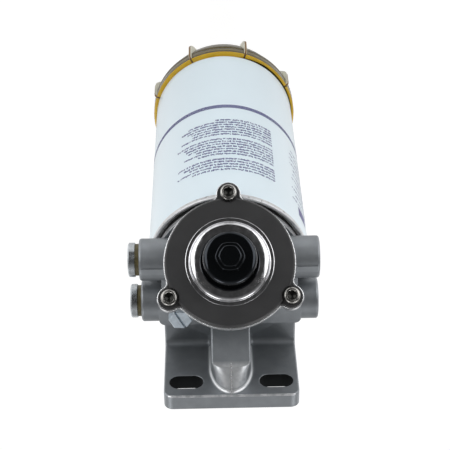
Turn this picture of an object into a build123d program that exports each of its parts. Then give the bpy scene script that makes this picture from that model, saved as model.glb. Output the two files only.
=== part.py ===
from build123d import *
import os
from math import cos, radians, sin

os.makedirs("parts", exist_ok=True)

# Fuel water separator with a hand primer, in millimetres.
# The origin lies on the wall face of the bracket, midway between its two slots.
# +Z is up, the wall is at +Y and the front of the separator looks along -Y.

# Bracket
plate_thickness = 11.0
plate_top = 14.3
plate_corner_radius = 6.0
plate_edge_radius = 1.0
slot_pitch = 60.0
slot_length = 22.2
slot_height = 12.2
slot_edge_distance = 3.9
slot_rim_radius = 0.7
ledge_below_ports = 1.0
fold_radius = 4.5
rib_root_width = 27.2
rib_front_width = 25.8
rib_depth = 15.5
rib_top_gap = 2.2
rib_ramp_rise = 8.0
rib_root_nose = 28.5
rib_front_nose = 3.6
rib_nose_fullness = 0.55
rib_root_fillet = 2.5
rib_edge_radius = 1.0
parting_line_width = 0.7
parting_line_height = 0.4

# Head casting
wall_to_can = 67.0
port_drop = 39.4
port_spacing = 34.0
head_face_below_ports = 15.0
head_flange_gap = 1.9
head_flange_ledge = 5.5
head_flange_thickness = 5.0
turret_above_ports = 6.0
boss_radius = 14.0
boss_end = 59.3
boss_edge_radius = 1.6
boss_land_width = 4.6
boss_land_height = 0.5
shoulder_width = 95.0
shoulder_depth = 16.0
shoulder_behind_port = 10.5
shoulder_corner_radius = 4.0
casting_underside_gap = 1.4
channel_inner_radius = 22.0
channel_land = 4.0
channel_depth = 4.0

# Ports and passages
port_bore_radius = 8.25
port_bore_depth = 17.0
passage_radius = 3.6
passage_below_ports = 4.2
inner_passage_end = 5.0
channel_drill_reach = 30.0

# Pump tower
pump_tilt = 45.0
pump_forward = 29.6
pump_drop = 16.4
tower_flange_radius = 42.5
tower_flange_thickness = 8.0
tower_neck_wall = 7.0
tower_neck_length = 90.0
tower_foot_above_face = 4.4
screw_outset = 2.4
screw_count = 3
lug_radius = 8.0
lug_fillet = 3.5
chamber_side_gap = 5.0
chamber_floor_gap = 2.1

# Pump cover and bezel
cover_margin = 0.9
cover_thickness = 5.0
cover_lug_thickness = 2.5
cover_bevel = 0.9
well_side_gap = 0.8
well_wall = 2.0
well_floor_thickness = 3.0
bezel_foot_width = 3.5
bezel_dish_width = 6.5
bezel_height = 3.2
bezel_shoulder_radius = 3.36
bezel_sheet = 1.2

# Pump moving parts
knob_radius = 17.1
knob_side_gap = 1.4
knob_top = 22.0
knob_flange_overlap = 0.7
knob_flange_thickness = 1.2
knob_wall = 2.2
knob_boss_radius = 8.8
knob_boss_height = 3.2
knob_crown_rise = 1.8
knob_pip_radius = 6.6
knob_pip_height = 1.4
knob_shoulder_radius = 3.2
stem_radius = 4.0
stem_foot_radius = 6.0
stem_foot_thickness = 1.0
diaphragm_thickness = 2.0
diaphragm_rim_width = 9.0
diaphragm_disc_radius = 17.0
diaphragm_fold_depth = 1.6
washer_radius = 14.0
washer_thickness = 1.2
spring_coil_radius = 12.0
spring_wire_radius = 0.9
spring_turns = 5

# Pump valves
valve_plate_radius = 16.0
valve_plate_thickness = 3.0
valve_offset = 8.0
valve_setback = 4.0
valve_disc_radius = 5.5
valve_disc_thickness = 1.2
valve_stem_radius = 1.6
valve_pocket_radius = 6.5
valve_pocket_depth = 3.0
valve_feed_radius = 2.6
valve_hole_radius = 0.8
valve_hole_count = 4

# Screws, plugs and bleed screw
screw_radius = 3.0
screw_length = 9.0
screw_head_radius = 5.5
screw_head_height = 5.6
screw_head_chamfer = 0.5
screw_socket = 5.0
screw_socket_depth = 3.0
spotface_radius = 6.5
plug_collar_lip = 3.15
plug_collar_chamfer = 0.8
plug_collar_thickness = 4.5
plug_shank_length = 10.0
plug_socket = 10.0
plug_socket_depth = 6.5
plug_seal_thickness = 2.8
plug_seal_width = 2.3
bleed_x = 33.0
bleed_behind_port = 0.5
bleed_shank_radius = 5.0
bleed_shank_length = 9.0
bleed_head_radius = 8.0
bleed_head_height = 6.6
bleed_head_chamfer = 0.7
bleed_slot_width = 1.5
bleed_slot_depth = 2.6
bleed_slot_angle = 117.0
bleed_seal_thickness = 1.3
bleed_seal_radius = 7.3
bleed_vent_radius = 2.0

# Filter can
can_radius = 55.0
can_wall = 0.9
can_shoulder_radius = 4.0
seam_width = 2.1
seam_height = 3.6
seam_drop = 1.0
seam_rounding = 0.95
gasket_width = 5.0
gasket_height = 4.0
end_plate_thickness = 2.0
nipple_radius = 12.0
nipple_bore_radius = 8.0
nipple_in_head = 12.0
nipple_below_grommet = 2.0
collar_wall = 3.0
collar_length = 8.0
inlet_hole_count = 8
inlet_hole_radius = 3.5
inlet_hole_circle = 30.0

# Filter element
element_length = 160.0
element_outer_radius = 46.0
element_inner_radius = 22.0
element_top_gap = 18.0
pleat_count = 40
pleat_root_gap = 1.5
tube_wall = 1.0
tube_hole_radius = 3.0
tube_hole_rows = 5
tube_holes_per_row = 6
cap_thickness = 1.5
cap_rim_height = 5.0
cap_rim_wall = 1.0
grommet_height = 6.0
grommet_lip = 1.5
spider_leg_width = 9.0
spider_leg_count = 4
spider_ring_radius = 14.0
spider_thickness = 1.5
spider_height = 14.0

# Water bowl
bowl_ring_radius = 40.2
bowl_ring_wall = 2.8
bowl_ring_length = 14.0
bowl_neck_length = 13.0
bowl_neck_wall = 3.2
bowl_flange_radius = 57.5
bowl_flange_height = 9.5
bowl_wall = 3.4
bowl_rim_wall = 5.1
belly_wall_across = 2.72
belly_wall_down = 2.04
bowl_depth = 60.0
bowl_floor_radius = 22.0
belly_inset = 13.2
belly_drop = 37.2
bowl_gasket_width = 4.0
bowl_gasket_height = 2.6
fin_count = 8
fin_thickness = 2.2
fin_reach = 5.6
fin_top_slope = 3.4
fin_length = 27.0
fin_foot_inset = 9.5
fin_hip_drop = 11.3
fin_hip_inset = 1.0
fin_first_angle = -17.0
drain_boss_radius = 12.5
drain_boss_height = 9.0
boss_draft = 3.0
drain_thread_radius = 7.0
drain_head_radius = 13.0
drain_head_height = 11.0
drain_lobe_count = 8
drain_lobe_radius = 2.4
drain_spout_radius = 4.5
drain_spout_length = 10.0
drain_bore_radius = 2.2
drain_seal_width = 2.4
drain_seal_height = 1.8

# Fits
thread_fit = 0.05
sliding_fit = 0.05
loose_fit = 0.3

# Worked-out places
plate_width = slot_pitch + slot_length + 2 * slot_edge_distance
ledge_drop = port_drop + ledge_below_ports
rib_apex = plate_top - rib_top_gap
rib_seat_width = rib_root_width + 4 * rib_root_fillet
rib_foot = -ledge_drop - fold_radius
can_y = -wall_to_can
front_port_y = can_y - port_spacing / 2
rear_port_y = can_y + port_spacing / 2
ledge_end = can_y + boss_radius / 2
bleed_y = rear_port_y + bleed_behind_port
shoulder_rear_y = rear_port_y + shoulder_behind_port
shoulder_top = -port_drop + boss_radius
passage_drop = port_drop + passage_below_ports
head_face_drop = port_drop + head_face_below_ports
turret_top_drop = port_drop - turret_above_ports
casting_underside = -head_face_drop + casting_underside_gap
head_flange_radius = can_radius - seam_width - head_flange_gap
turret_radius = head_flange_radius - head_flange_ledge
channel_outer_radius = head_flange_radius - gasket_width - channel_land

# Worked-out sizes of the pump, out from the knob and down from the cover
bezel_hole_radius = knob_radius + knob_side_gap
bezel_crown_radius = bezel_hole_radius + bezel_dish_width
bezel_foot_radius = bezel_crown_radius + bezel_foot_width
bezel_crest = cover_thickness + bezel_height
bezel_lip = bezel_crest - bezel_sheet
knob_flange_radius = bezel_hole_radius + knob_flange_overlap
knob_seat = bezel_lip - bezel_sheet - sliding_fit
knob_flange_base = knob_seat - knob_flange_thickness
knob_ceiling = knob_top - knob_wall
knob_boss_foot = knob_top + knob_crown_rise
pump_stroke = knob_flange_base - sliding_fit
well_radius = knob_flange_radius + well_side_gap
well_boss_radius = well_radius + well_wall
valve_hole_circle = (valve_disc_radius + valve_stem_radius) / 2
chamber_radius = well_boss_radius + chamber_side_gap
diaphragm_clamp_radius = chamber_radius + diaphragm_rim_width
tower_neck_radius = chamber_radius + tower_neck_wall
screw_circle = tower_flange_radius + screw_outset
cover_radius = tower_flange_radius - cover_margin
cover_lug_radius = lug_radius - cover_margin
upper_washer_top = -well_floor_thickness - loose_fit
diaphragm_top = upper_washer_top - washer_thickness
lower_washer_top = diaphragm_top - diaphragm_thickness
stem_foot_top = lower_washer_top - washer_thickness
chamber_depth = pump_stroke + stem_foot_thickness - stem_foot_top + valve_disc_thickness + chamber_floor_gap
plate_bed = -chamber_depth - valve_plate_thickness

# Worked-out levels of the can, from the sealing face of the head down
gasket_top = -head_face_drop
end_plate_top = gasket_top - gasket_height
seam_top = gasket_top - seam_drop
seam_base = seam_top - seam_height
element_top = end_plate_top - element_top_gap
element_bottom = element_top - element_length
spider_top = element_bottom - cap_thickness
spider_foot = spider_top - spider_height
can_bottom = spider_foot - bowl_ring_length
grommet_top = element_top + grommet_height / 2
nipple_top = gasket_top + nipple_in_head
nipple_bottom = grommet_top - grommet_height - nipple_below_grommet

# Worked-out planes and axes
tilt_sin = sin(radians(pump_tilt))
tilt_cos = cos(radians(pump_tilt))
pump_centre = (0, can_y - pump_forward, -pump_drop)

can_section = Plane(origin=(0, can_y, 0), x_dir=(1, 0, 0), z_dir=(0, -1, 0))
can_axis = Axis((0, can_y, 0), (0, 0, 1))
pump_face = Plane(origin=pump_centre, x_dir=(1, 0, 0), z_dir=(0, -tilt_sin, tilt_cos))
pump_section = Plane(origin=pump_centre, x_dir=(1, 0, 0), z_dir=(0, -tilt_cos, -tilt_sin))
pump_axis = Axis(pump_centre, (0, -tilt_sin, tilt_cos))
plate_front = Plane(origin=(0, -plate_thickness, 0), x_dir=(1, 0, 0), z_dir=(0, -1, 0))
rib_step = (0, -plate_thickness - rib_depth, rib_apex - rib_ramp_rise)
rib_front = Plane(origin=rib_step, x_dir=(1, 0, 0), z_dir=pump_face.z_dir)
wall_face = Plane(origin=(0, 0, 0), x_dir=(1, 0, 0), z_dir=(0, -1, 0))


def can_level(drop):
    """Horizontal plane through the can's axis, drop below the slot line."""
    return Plane(origin=(0, can_y, -drop), x_dir=(1, 0, 0), z_dir=(0, 0, 1))


def lugged_disc(disc_radius, corner_radius):
    """Disc with a rounded lug at each cover screw, in the sketch that is open."""
    Circle(disc_radius)
    with PolarLocations(screw_circle, screw_count, start_angle=-90):
        Circle(corner_radius)
    with PolarLocations(screw_circle / 2, screw_count, start_angle=-90):
        Rectangle(screw_circle, 2 * corner_radius)


def on_front_rim(point):
    """True for a point on the rim of the plate's front or of the ledge's upper side."""
    on_plate = abs(point.Y + plate_thickness) < 0.01 and point.Z > -ledge_drop + fold_radius
    on_fold = abs(abs(point.X) - plate_width / 2) < 0.01 and -plate_thickness > point.Y > ledge_end + 0.01
    return on_plate or on_fold and point.Z > casting_underside + 0.01


def on_slot_rim(point):
    """True for a point on the edge of a bolt slot at the plate's front."""
    across = abs(abs(point.X) - slot_pitch / 2) < slot_length / 2
    return across and abs(point.Z) < slot_height / 2 + 0.01 and abs(point.Y + plate_thickness) < 0.01


def rib_outline(width, apex, nose, foot):
    """Outline with straight sides and a rounded nose at its top, in the sketch that is open."""
    half = width / 2
    hip = apex - nose
    with BuildLine() as outline:
        Polyline((-half, hip), (-half, foot), (half, foot), (half, hip))
        for side in (-1, 1):
            side_pull = (side * half, hip + rib_nose_fullness * nose)
            apex_pull = (side * half * rib_nose_fullness, apex)
            Bezier((side * half, hip), side_pull, apex_pull, (0, apex))
    make_face(outline.edges())


def on_rib_root(point):
    """True for a point where the rib's sides and nose meet the plate, the fold or the ledge."""
    on_plate = abs(point.Y + plate_thickness) < 0.01 and point.Z < plate_top
    in_fold = -fold_radius < point.Y + plate_thickness < 0 and 0 < point.Z + ledge_drop < fold_radius
    on_ledge = abs(point.Z + ledge_drop) < 0.01 and abs(point.X) > rib_front_width / 4
    return abs(point.X) < rib_root_width / 2 + 0.01 and (on_plate or in_fold or on_ledge)


def along_rib(edge):
    """True for one of the two long edges down the rib's front."""
    return edge.length > rib_root_nose and abs(edge.center().Z - edge.center().Y) > 0.01


def on_circle(vertex, radius):
    """True for a sketch corner that lies on the circle of this radius."""
    return abs((vertex.X**2 + vertex.Y**2) ** 0.5 - radius) < 0.01


# Head casting: bracket, ledge, turret over the can, port bosses and pump tower in one piece
with BuildPart() as head_casting:
    with BuildSketch(pump_face.offset(-tower_flange_thickness)):
        Circle(tower_neck_radius)
    extrude(amount=-tower_neck_length)
    split(bisect_by=Plane.XY.offset(-head_face_drop + tower_foot_above_face), keep=Keep.TOP)
    with BuildSketch(pump_face):
        lugged_disc(tower_flange_radius, lug_radius)
        fillet(vertices().filter_by(lambda v: on_circle(v, tower_flange_radius)), lug_fillet)
    extrude(amount=-tower_flange_thickness)

    with BuildSketch(can_section):
        with BuildLine():
            Polyline(
                (0, -head_face_drop),
                (head_flange_radius, -head_face_drop),
                (head_flange_radius, -head_face_drop + head_flange_thickness),
                (turret_radius, -head_face_drop + head_flange_thickness),
                (turret_radius, -turret_top_drop),
                (0, -turret_top_drop),
                close=True,
            )
        make_face()
    revolve(axis=can_axis)
    split(bisect_by=pump_face, keep=Keep.BOTTOM)

    # Plate and ledge as one folded section, run across the width
    with BuildSketch(Plane.YZ.offset(-plate_width / 2)):
        with BuildLine():
            Polyline(
                (0, casting_underside),
                (0, plate_top),
                (-plate_thickness, plate_top),
                (-plate_thickness, -ledge_drop),
                (ledge_end, -ledge_drop),
                (ledge_end, casting_underside),
                close=True,
            )
        make_face()
        fold = vertices().filter_by(lambda v: abs(v.X + plate_thickness) < 0.01).sort_by(Axis.Y)
        fillet(fold[0], fold_radius)
    bracket = extrude(amount=plate_width, mode=Mode.PRIVATE)
    top_corners = bracket.edges().filter_by(Axis.Y).group_by(Axis.Z)[-1]
    bracket = bracket.fillet(plate_corner_radius, top_corners)
    rim_edges = bracket.edges().filter_by(lambda e: on_front_rim(e.center()))
    add(bracket.fillet(plate_edge_radius, rim_edges))

    # Rib that braces the plate: it leans back from the tower and its nose runs out on the plate
    with BuildPart(mode=Mode.PRIVATE) as rib:
        with BuildSketch(plate_front):
            rib_outline(rib_root_width, rib_apex, rib_root_nose, rib_foot)
        with BuildSketch(rib_front):
            rib_outline(rib_front_width, 0, rib_front_nose, (rib_foot - rib_front.origin.Z) / tilt_sin)
        loft(ruled=True)
        with BuildSketch(Plane.YZ.offset(-rib_seat_width / 2)):
            with BuildLine():
                Polyline(
                    (-plate_thickness / 2, 2 * plate_top),
                    (-plate_thickness, 2 * plate_top),
                    (-plate_thickness, -ledge_drop),
                    (shoulder_rear_y, -ledge_drop),
                    (shoulder_rear_y, rib_foot),
                    (-plate_thickness / 2, rib_foot),
                    close=True,
                )
            make_face()
            fold = vertices().filter_by(lambda v: abs(v.X + plate_thickness) < 0.01).sort_by(Axis.Y)
            fillet(fold[0], fold_radius)
        extrude(amount=rib_seat_width)
        fillet(edges().filter_by(lambda e: on_rib_root(e.center())), rib_root_fillet)
        fillet(edges().filter_by(GeomType.LINE).filter_by(along_rib), rib_edge_radius)
        split(bisect_by=Plane.XY.offset(plate_top - plate_edge_radius), keep=Keep.BOTTOM)
    add(rib.part)
    with BuildSketch(Plane.YZ):
        with BuildLine():
            Polyline(
                (-plate_thickness, rib_apex - parting_line_height),
                (-plate_thickness, rib_apex + parting_line_height),
                (rib_front.origin.Y, rib_front.origin.Z + parting_line_height),
                (rib_front.origin.Y, rib_front.origin.Z - parting_line_height),
                close=True,
            )
        make_face()
    extrude(amount=parting_line_width / 2, both=True)

    # Flat shoulder behind the ports
    with BuildSketch(Plane.XY.offset(casting_underside)):
        with Locations((0, shoulder_rear_y)):
            Rectangle(shoulder_width, shoulder_depth, align=(Align.CENTER, Align.MAX))
        fillet(vertices(), shoulder_corner_radius)
    extrude(amount=shoulder_top - casting_underside)

    # Port bosses, with the raised casting land along the front pair
    for port_y in (front_port_y, rear_port_y):
        boss_start = Plane(origin=(-boss_end, port_y, -port_drop), x_dir=(0, 1, 0), z_dir=(1, 0, 0))
        with BuildSketch(boss_start):
            Circle(boss_radius)
        boss = extrude(amount=2 * boss_end, mode=Mode.PRIVATE)
        add(boss.fillet(boss_edge_radius, boss.edges().filter_by(GeomType.CIRCLE)))
    land_end = boss_end - boss_edge_radius
    with BuildSketch(Plane.XY.offset(-port_drop)):
        with Locations((0, front_port_y)):
            Rectangle(2 * land_end, boss_land_width)
    extrude(amount=boss_radius + boss_land_height)

    # Slots for the mounting bolts
    with BuildSketch(wall_face):
        with GridLocations(slot_pitch, 0, 2, 1):
            SlotOverall(slot_length, slot_height)
    extrude(amount=plate_thickness, mode=Mode.SUBTRACT)
    fillet(edges().filter_by(lambda e: on_slot_rim(e.center())), slot_rim_radius)

    # Ring channel and centre bore under the head
    with BuildSketch(can_level(head_face_drop)):
        Circle(channel_outer_radius)
        Circle(channel_inner_radius, mode=Mode.SUBTRACT)
    extrude(amount=channel_depth, mode=Mode.SUBTRACT)
    with BuildSketch(can_level(head_face_drop)):
        Circle(nipple_radius + thread_fit)
    extrude(amount=nipple_in_head, mode=Mode.SUBTRACT)

    # Ports: a threaded bore at each end, then a drilled passage
    for port_y in (front_port_y, rear_port_y):
        for side in (-1, 1):
            mouth = Plane(
                origin=(side * boss_end, port_y, -port_drop), x_dir=(0, side, 0), z_dir=(-side, 0, 0)
            )
            with BuildSketch(mouth):
                Circle(port_bore_radius)
            extrude(amount=port_bore_depth, mode=Mode.SUBTRACT)
            drill_start = side * (boss_end - port_bore_depth)
            drill_end = side * inner_passage_end if port_y == front_port_y else 0
            drill = Plane(
                origin=(drill_start, port_y, -passage_drop), x_dir=(0, side, 0), z_dir=(-side, 0, 0)
            )
            with BuildSketch(drill):
                Circle(passage_radius)
            extrude(amount=abs(drill_start - drill_end), mode=Mode.SUBTRACT)

    # Drilling from the front gallery to the ring channel, and from the rear one to the centre
    with BuildSketch(Plane(origin=(channel_drill_reach, front_port_y, -head_face_drop))):
        Circle(passage_radius)
    extrude(amount=head_face_drop - passage_drop, mode=Mode.SUBTRACT)
    with BuildSketch(Plane(origin=(0, can_y, -passage_drop), x_dir=(1, 0, 0), z_dir=(0, 1, 0))):
        Circle(passage_radius)
    extrude(amount=port_spacing / 2, mode=Mode.SUBTRACT)
    with BuildSketch(can_level(head_face_drop)):
        Circle(nipple_bore_radius)
    extrude(amount=head_face_drop - passage_drop, mode=Mode.SUBTRACT)

    # Pump chamber, diaphragm seat and valve plate pocket
    with BuildSketch(pump_section):
        with BuildLine():
            Polyline(
                (0, 0),
                (diaphragm_clamp_radius, 0),
                (diaphragm_clamp_radius, -diaphragm_thickness),
                (chamber_radius, -diaphragm_thickness),
                (chamber_radius, -chamber_depth / 2),
                (valve_plate_radius + sliding_fit, -chamber_depth),
                (valve_plate_radius + sliding_fit, plate_bed),
                (0, plate_bed),
                close=True,
            )
        make_face()
    revolve(axis=pump_axis, mode=Mode.SUBTRACT)
    for side in (-1, 1):
        with BuildSketch(pump_face.offset(plate_bed)):
            with Locations((side * valve_offset, -valve_setback)):
                Circle(valve_pocket_radius)
        extrude(amount=-valve_pocket_depth, mode=Mode.SUBTRACT)
        with BuildSketch(pump_face.offset(plate_bed)):
            with Locations((side * valve_offset, -valve_setback - valve_pocket_radius / 2)):
                Circle(valve_feed_radius)
        extrude(amount=-valve_pocket_depth - passage_radius, mode=Mode.SUBTRACT)

    # Holes for the cover screws
    with BuildSketch(pump_face):
        with PolarLocations(screw_circle, screw_count, start_angle=-90):
            Circle(screw_radius + thread_fit)
    extrude(amount=-(screw_length - cover_lug_thickness) - loose_fit, mode=Mode.SUBTRACT)

    # Bleed screw hole with its vent drilled down to the rear gallery
    with BuildSketch(Plane(origin=(bleed_x, bleed_y, shoulder_top))):
        Circle(bleed_shank_radius + thread_fit)
    extrude(amount=-bleed_shank_length - loose_fit, mode=Mode.SUBTRACT)
    with BuildSketch(Plane(origin=(bleed_x, bleed_y, shoulder_top))):
        Circle(bleed_vent_radius)
    extrude(amount=-(shoulder_top + passage_drop), mode=Mode.SUBTRACT)
head_casting.part.label = "head_casting"
export_step(head_casting.part, "parts/head_casting.step")

# Pump cover: bevelled disc with three lugs, a well for the knob and a stem guide
with BuildPart() as pump_cover:
    with BuildSketch(pump_face):
        lugged_disc(cover_radius, cover_lug_radius)
        fillet(vertices().filter_by(lambda v: on_circle(v, cover_radius)), lug_fillet)
    extrude(amount=cover_lug_thickness)
    with BuildSketch(pump_section):
        with BuildLine():
            Polyline(
                (0, -well_floor_thickness),
                (well_boss_radius, -well_floor_thickness),
                (well_boss_radius, 0),
                (cover_radius, 0),
                (cover_radius, cover_thickness - cover_bevel),
                (cover_radius - cover_bevel, cover_thickness),
                (well_radius, cover_thickness),
                (well_radius, 0),
                (0, 0),
                close=True,
            )
        make_face()
    revolve(axis=pump_axis)
    with BuildSketch(pump_face):
        Circle(well_radius)
    extrude(amount=cover_thickness, mode=Mode.SUBTRACT)
    with BuildSketch(pump_face.offset(cover_lug_thickness)):
        with PolarLocations(screw_circle, screw_count, start_angle=-90):
            Circle(spotface_radius)
    extrude(amount=cover_thickness, mode=Mode.SUBTRACT)
    with BuildSketch(pump_face):
        with PolarLocations(screw_circle, screw_count, start_angle=-90):
            Circle(screw_radius + loose_fit)
    extrude(amount=cover_lug_thickness, mode=Mode.SUBTRACT)
    with BuildSketch(pump_face.offset(-well_floor_thickness)):
        Circle(stem_radius + sliding_fit)
    extrude(amount=well_floor_thickness, mode=Mode.SUBTRACT)
pump_cover.part.label = "pump_cover"
export_step(pump_cover.part, "parts/pump_cover.step")

# Cover screws: three cap screws with a hexagon socket
with BuildPart() as pump_cover_screws:
    head_base = pump_face.offset(cover_lug_thickness)
    with BuildSketch(head_base):
        with PolarLocations(screw_circle, screw_count, start_angle=-90):
            Circle(screw_head_radius)
    extrude(amount=screw_head_height)
    head_rims = edges().filter_by(GeomType.CIRCLE).group_by(Axis(pump_centre, pump_axis.direction))[-1]
    chamfer(head_rims, screw_head_chamfer)
    with BuildSketch(head_base):
        with PolarLocations(screw_circle, screw_count, start_angle=-90):
            Circle(screw_radius)
    extrude(amount=-screw_length)
    with BuildSketch(head_base.offset(screw_head_height)):
        with PolarLocations(screw_circle, screw_count, start_angle=-90):
            RegularPolygon(screw_socket / 2, 6, major_radius=False)
    extrude(amount=-screw_socket_depth, mode=Mode.SUBTRACT)
pump_cover_screws.part.label = "pump_cover_screws"
export_step(pump_cover_screws.part, "parts/pump_cover_screws.step")

# Bezel: polished sheet ring with a rolled shoulder and a shallow dish
with BuildPart() as pump_bezel:
    with BuildSketch(pump_section):
        with BuildLine():
            outer_foot = (bezel_foot_radius, cover_thickness)
            outer_crown = (bezel_crown_radius, bezel_crest)
            inner_crown = (bezel_crown_radius, bezel_crest - bezel_sheet)
            inner_foot = (bezel_foot_radius - bezel_sheet, cover_thickness)
            RadiusArc(outer_foot, outer_crown, -bezel_shoulder_radius)
            Line(outer_crown, (bezel_hole_radius, bezel_lip))
            Line((bezel_hole_radius, bezel_lip), (bezel_hole_radius, bezel_lip - bezel_sheet))
            Line((bezel_hole_radius, bezel_lip - bezel_sheet), inner_crown)
            Line(inner_crown, inner_foot)
            Line(inner_foot, outer_foot)
        make_face()
    revolve(axis=pump_axis)
pump_bezel.part.label = "pump_bezel"
export_step(pump_bezel.part, "parts/pump_bezel.step")

# Knob: hollow push button with a retaining flange and a stepped crown
with BuildPart() as pump_knob:
    with BuildSketch(pump_section):
        with BuildLine():
            Polyline(
                (0, knob_ceiling),
                (knob_radius - knob_wall, knob_ceiling),
                (knob_radius - knob_wall, knob_flange_base),
                (knob_flange_radius, knob_flange_base),
                (knob_flange_radius, knob_seat),
                (knob_radius, knob_seat),
                (knob_radius, knob_top - knob_shoulder_radius),
            )
            ThreePointArc(
                (knob_radius, knob_top - knob_shoulder_radius),
                (
                    knob_radius - knob_shoulder_radius * (1 - cos(radians(45))),
                    knob_top - knob_shoulder_radius * (1 - sin(radians(45))),
                ),
                (knob_radius - knob_shoulder_radius, knob_top),
            )
            Polyline(
                (knob_radius - knob_shoulder_radius, knob_top),
                (knob_boss_radius, knob_boss_foot),
                (knob_boss_radius, knob_boss_foot + knob_boss_height),
                (knob_pip_radius, knob_boss_foot + knob_boss_height),
                (knob_pip_radius, knob_boss_foot + knob_boss_height + knob_pip_height),
                (0, knob_boss_foot + knob_boss_height + knob_pip_height),
                (0, knob_ceiling),
            )
        make_face()
    revolve(axis=pump_axis)
pump_knob.part.label = "pump_knob"
export_step(pump_knob.part, "parts/pump_knob.step")

# Stem: rod from the knob through the cover to the diaphragm
with BuildPart() as pump_stem:
    with BuildSketch(pump_face.offset(stem_foot_top)):
        Circle(stem_radius)
    extrude(amount=knob_ceiling - stem_foot_top)
    with BuildSketch(pump_face.offset(stem_foot_top)):
        Circle(stem_foot_radius)
    extrude(amount=-stem_foot_thickness)
pump_stem.part.label = "pump_stem"
export_step(pump_stem.part, "parts/pump_stem.step")

# Diaphragm washers: one each side of the rubber
with BuildPart() as diaphragm_washers:
    for top in (upper_washer_top, lower_washer_top):
        with BuildSketch(pump_face.offset(top)):
            Circle(washer_radius)
            Circle(stem_radius + sliding_fit, mode=Mode.SUBTRACT)
        extrude(amount=-washer_thickness)
diaphragm_washers.part.label = "diaphragm_washers"
export_step(diaphragm_washers.part, "parts/diaphragm_washers.step")

# Diaphragm: flat rim clamped under the cover, one rolling fold, flat centre
with BuildPart() as pump_diaphragm:
    fold_low = lower_washer_top - diaphragm_fold_depth
    fold_radius_mid = (diaphragm_disc_radius + chamber_radius) / 2
    with BuildSketch(pump_section):
        with BuildLine():
            Polyline(
                (stem_radius + sliding_fit, diaphragm_top),
                (diaphragm_disc_radius, diaphragm_top),
                (fold_radius_mid, fold_low + diaphragm_thickness),
                (chamber_radius - diaphragm_thickness, -diaphragm_thickness / 2),
                (chamber_radius, 0),
                (diaphragm_clamp_radius - sliding_fit, 0),
                (diaphragm_clamp_radius - sliding_fit, -diaphragm_thickness),
                (chamber_radius, -diaphragm_thickness),
                (fold_radius_mid, fold_low),
                (diaphragm_disc_radius, lower_washer_top),
                (stem_radius + sliding_fit, lower_washer_top),
                close=True,
            )
        make_face()
    revolve(axis=pump_axis)
pump_diaphragm.part.label = "pump_diaphragm"
export_step(pump_diaphragm.part, "parts/pump_diaphragm.step")

# Return spring between the well floor and the knob
spring_foot = spring_wire_radius
spring_rise = knob_ceiling - 2 * spring_wire_radius
with BuildPart() as pump_spring:
    with BuildLine() as coil:
        Helix(
            spring_rise / spring_turns,
            spring_rise,
            spring_coil_radius,
            center=pump_face.offset(spring_foot).origin,
            direction=pump_face.z_dir,
        )
    with BuildSketch(Plane(origin=coil.line @ 0, z_dir=coil.line % 0)):
        Circle(spring_wire_radius)
    sweep(path=coil.line, is_frenet=True)
pump_spring.part.label = "pump_spring"
export_step(pump_spring.part, "parts/pump_spring.step")

# Valve plate pressed into the floor of the pump chamber
with BuildPart() as valve_plate:
    with BuildSketch(pump_face.offset(-chamber_depth)):
        Circle(valve_plate_radius)
        for side in (-1, 1):
            with Locations((side * valve_offset, -valve_setback)):
                Circle(valve_stem_radius + sliding_fit, mode=Mode.SUBTRACT)
            with Locations((side * valve_offset, -valve_setback)):
                with PolarLocations(valve_hole_circle, valve_hole_count, start_angle=45):
                    Circle(valve_hole_radius, mode=Mode.SUBTRACT)
    extrude(amount=-valve_plate_thickness)
valve_plate.part.label = "valve_plate"
export_step(valve_plate.part, "parts/valve_plate.step")

# Umbrella valves: the inlet disc lies above the plate, the outlet disc below it
with BuildPart() as inlet_valve:
    with BuildSketch(pump_face.offset(-chamber_depth)):
        with Locations((-valve_offset, -valve_setback)):
            Circle(valve_disc_radius)
    extrude(amount=valve_disc_thickness)
    with BuildSketch(pump_face.offset(-chamber_depth)):
        with Locations((-valve_offset, -valve_setback)):
            Circle(valve_stem_radius)
    extrude(amount=-valve_plate_thickness - valve_disc_thickness)
inlet_valve.part.label = "inlet_valve"
export_step(inlet_valve.part, "parts/inlet_valve.step")

with BuildPart() as outlet_valve:
    with BuildSketch(pump_face.offset(plate_bed)):
        with Locations((valve_offset, -valve_setback)):
            Circle(valve_disc_radius)
    extrude(amount=-valve_disc_thickness)
    with BuildSketch(pump_face.offset(plate_bed)):
        with Locations((valve_offset, -valve_setback)):
            Circle(valve_stem_radius)
    extrude(amount=valve_plate_thickness + valve_disc_thickness)
outlet_valve.part.label = "outlet_valve"
export_step(outlet_valve.part, "parts/outlet_valve.step")

# Bleed screw: slotted hexagon head on a short threaded shank
bleed_head_base = shoulder_top + bleed_seal_thickness
with BuildPart() as bleed_screw:
    with BuildSketch(Plane(origin=(bleed_x, bleed_y, bleed_head_base))):
        RegularPolygon(bleed_head_radius, 6, rotation=bleed_slot_angle)
    extrude(amount=bleed_head_height)
    chamfer(edges().group_by(Axis.Z)[-1], bleed_head_chamfer)
    with BuildSketch(Plane(origin=(bleed_x, bleed_y, bleed_head_base))):
        Circle(bleed_shank_radius)
    extrude(amount=-bleed_shank_length)
    with BuildSketch(Plane(origin=(bleed_x, bleed_y, bleed_head_base + bleed_head_height))):
        Rectangle(3 * bleed_head_radius, bleed_slot_width, rotation=bleed_slot_angle)
    extrude(amount=-bleed_slot_depth, mode=Mode.SUBTRACT)
bleed_screw.part.label = "bleed_screw"
export_step(bleed_screw.part, "parts/bleed_screw.step")

with BuildPart() as bleed_seal:
    with BuildSketch(Plane(origin=(bleed_x, bleed_y, shoulder_top))):
        Circle(bleed_seal_radius)
        Circle(bleed_shank_radius + loose_fit, mode=Mode.SUBTRACT)
    extrude(amount=bleed_seal_thickness)
bleed_seal.part.label = "bleed_seal"
export_step(bleed_seal.part, "parts/bleed_seal.step")

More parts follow.
